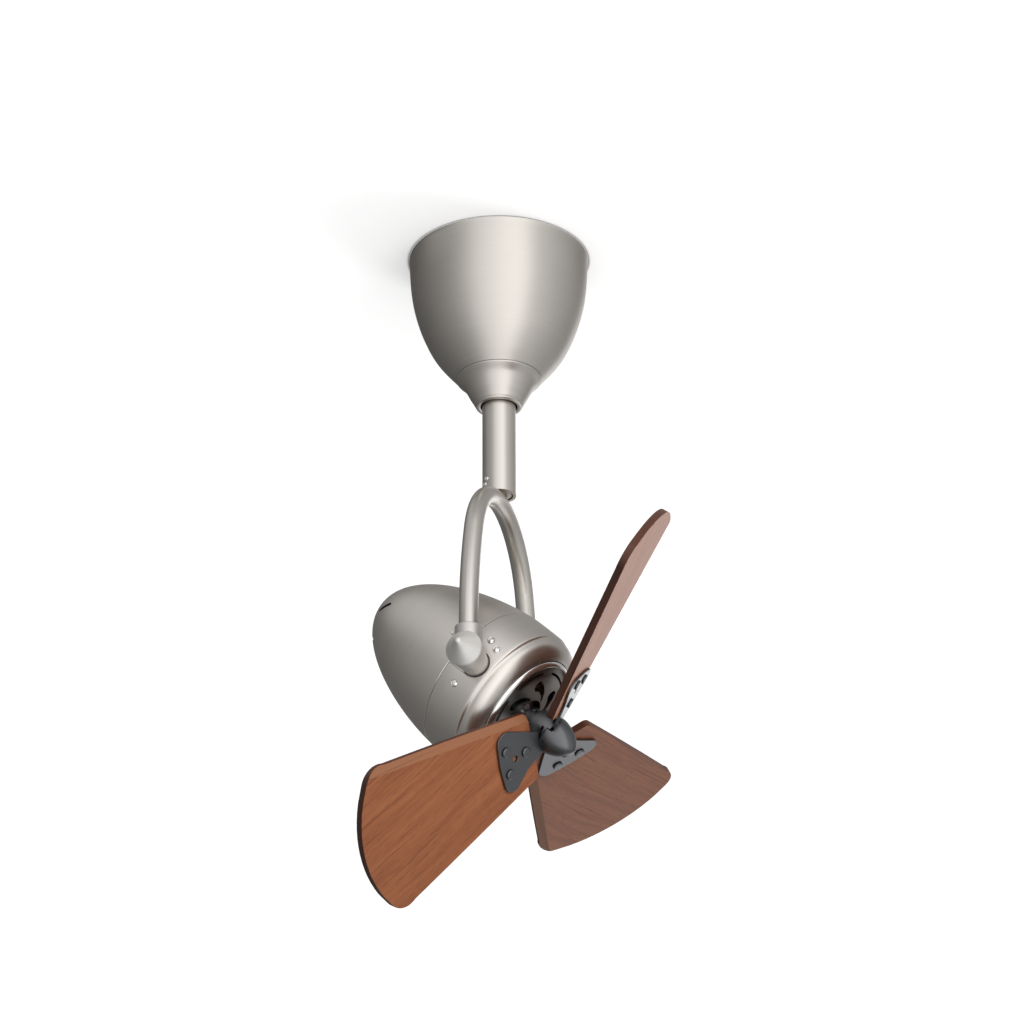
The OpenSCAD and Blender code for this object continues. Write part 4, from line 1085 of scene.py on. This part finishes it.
def ceilingFinish():
    c = ceilingLook
    look = Finish("paleCeiling")
    isSeen = look.node("ShaderNodeLightPath", output="Is Camera Ray")
    # ambient occlusion facing the light dims the glow near the fan: a painted shadow
    openness = look.node("ShaderNodeAmbientOcclusion", {"samples": 4}, {
        "Distance": c["shade"] * mm, "Normal": tuple(towards(*c["light"]))}, "AO")
    radius = look.vector("LENGTH", look.spot(), output=1)
    # seam is a painted contact shadow: a dark ring round the canopy's rim, in both the glow and the paint
    seam = look.ranged(radius, (c["hole"] * mm, (c["hole"] + c["contact"]) * mm, c["contactShadowLevel"], 1.0))
    level = c["glow"] * (1 - c["depth"] * (1 - openness)) * seam
    glow = look.node("ShaderNodeEmission", None, {"Color": grey(1.0), "Strength": isSeen * level})
    paint = look.node("ShaderNodeBsdfDiffuse", None, {"Color": look.blend(seam, grey(0.0), grey(c["paint"]))})
    both = look.node("ShaderNodeAddShader", None, {0: glow, 1: paint})
    behind = look.node("ShaderNodeNewGeometry", output="Backfacing")
    clear = look.node("ShaderNodeBsdfTransparent")
    mixed = look.node("ShaderNodeMixShader", None, {0: behind, 1: both, 2: clear})
    look.close(mixed, "ShaderNodeOutputMaterial")


def makeCeiling():
    # a pale ceiling that the canopy sits against; from above it is clear, so the fan still shows
    c = ceilingLook
    shape = bmesh.new()
    rings = [circle(shape, c[name], 0, c["segments"]) for name in ("hole", "middle", "reach")]
    for inner, outer in zip(rings, rings[1:]):
        bridge(shape, inner, outer)
    for face in shape.faces:
        face.normal_update()
        if face.normal.z > 0:
            face.normal_flip()
    ceiling = place("ceiling", meshFrom(shape, "ceiling", outward=False), "paleCeiling")
    for ray in ("glossy", "diffuse", "shadow", "transmission"):
        setattr(ceiling, "visible_" + ray, False)


# ---- light ----

# each lamp: its direction, how far, how wide and tall, and its power; reflections see the room instead
lamps = {
    "key": {"way": (38, 8), "distance": 2.4, "size": (1.3, 1.3), "power": 73},
    "side": {"way": (125, -30), "distance": 4.0, "size": (1.6, 1.6), "power": 42},
}
lampCentre = Vector((0, 0, -0.35))
# what reflections see: brightness by direction round the fan (in degrees), which fades to one far level
# above and below, and soft boxes on top; diffuse surfaces get the plain brightness, by height only
room = {
    "round": [(-180, 0.34), (-165, 0.18), (-140, 0.15), (-115, 0.16), (-95, 0.24), (-75, 0.30),
              (-56, 0.42), (-44, 0.58), (-31, 1.00), (-10, 1.20), (10, 1.46), (32, 1.62), (38, 1.36),
              (46, 0.84), (60, 0.72), (80, 0.58), (100, 0.48), (120, 0.40), (145, 0.40), (160, 0.55),
              (172, 0.50), (180, 0.34)],
    "height": [(-90, 0.9), (-72, 0.6), (-52, 0.0), (35, 0.0), (50, 0.45), (64, 0.85), (80, 1.0)],
    "far": 0.36,
    "boxes": [{"way": (152, -32), "from": 0.88, "full": 0.98, "level": 0.65},
              {"way": (163, 13), "from": 0.92, "full": 0.985, "level": 1.5},
              {"way": (-85, 52), "from": 0.84, "full": 0.98, "level": 0.26}],
    "plain": [(-90, 0.10), (-30, 0.18), (0, 0.32), (40, 0.44), (90, 0.46)],
}


def makeLamps():
    for name, spec in lamps.items():
        away = towards(*spec["way"])
        lamp = bpy.data.lights.new(name, "AREA")
        lamp.shape = "RECTANGLE"
        lamp.size, lamp.size_y = spec["size"]
        lamp.energy = spec["power"]
        holder = linked(name, lamp)
        holder.location = lampCentre + away * spec["distance"]
        holder.rotation_euler = away.to_track_quat("Z", "Y").to_euler()
        holder.visible_glossy = False


def makeRoom():
    world = bpy.data.worlds.new("room")
    bpy.context.scene.world = world
    world.use_nodes = True
    sky = Nodes(world.node_tree)
    facing = sky.node("ShaderNodeTexCoord", output="Generated")

    def along(way):
        return sky.vector("DOT_PRODUCT", facing, tuple(way), output=1)

    def ramped(value, stops, low, high):
        # a ramp's colours stay under one, as shares of the peak
        peak = max(level for at, level in stops)
        shared = [((at - low) / (high - low), grey(level / peak)) for at, level in stops]
        return sky.ramp(value, shared) * peak

    side, front, above = along(towards(90, 0)), along(towards(0, 0)), along(zAxis)
    turn = side.maths("ARCTAN2", side, front) * (1 / (2 * math.pi)) + 0.5
    lift = above.maths("ARCSINE", above, 0.0) * (1 / math.pi) + 0.5
    share = ramped(lift, room["height"], -90, 90)
    level = ramped(turn, room["round"], -180, 180) * (1 - share) + share * room["far"]
    for box in room["boxes"]:
        level = level + sky.ranged(along(towards(*box["way"])), (box["from"], box["full"], 0.0, box["level"]),
                                   {"interpolation_type": "SMOOTHSTEP"})
    camera = sky.node("ShaderNodeLightPath", output="Is Camera Ray")
    diffuse = sky.node("ShaderNodeLightPath", output="Is Diffuse Ray")
    plain = ramped(lift, room["plain"], -90, 90)
    strength = camera + (1 - camera) * (diffuse * plain + (1 - diffuse) * level)
    sky.close(sky.node("ShaderNodeBackground", None, {"Color": grey(1.0), "Strength": strength}),
              "ShaderNodeOutputWorld")


makeCamera()
ceilingFinish()
makeCeiling()
makeLamps()
makeRoom()
bpy.context.scene.view_settings.view_transform = "Standard"
print("camera, ceiling and lights made")
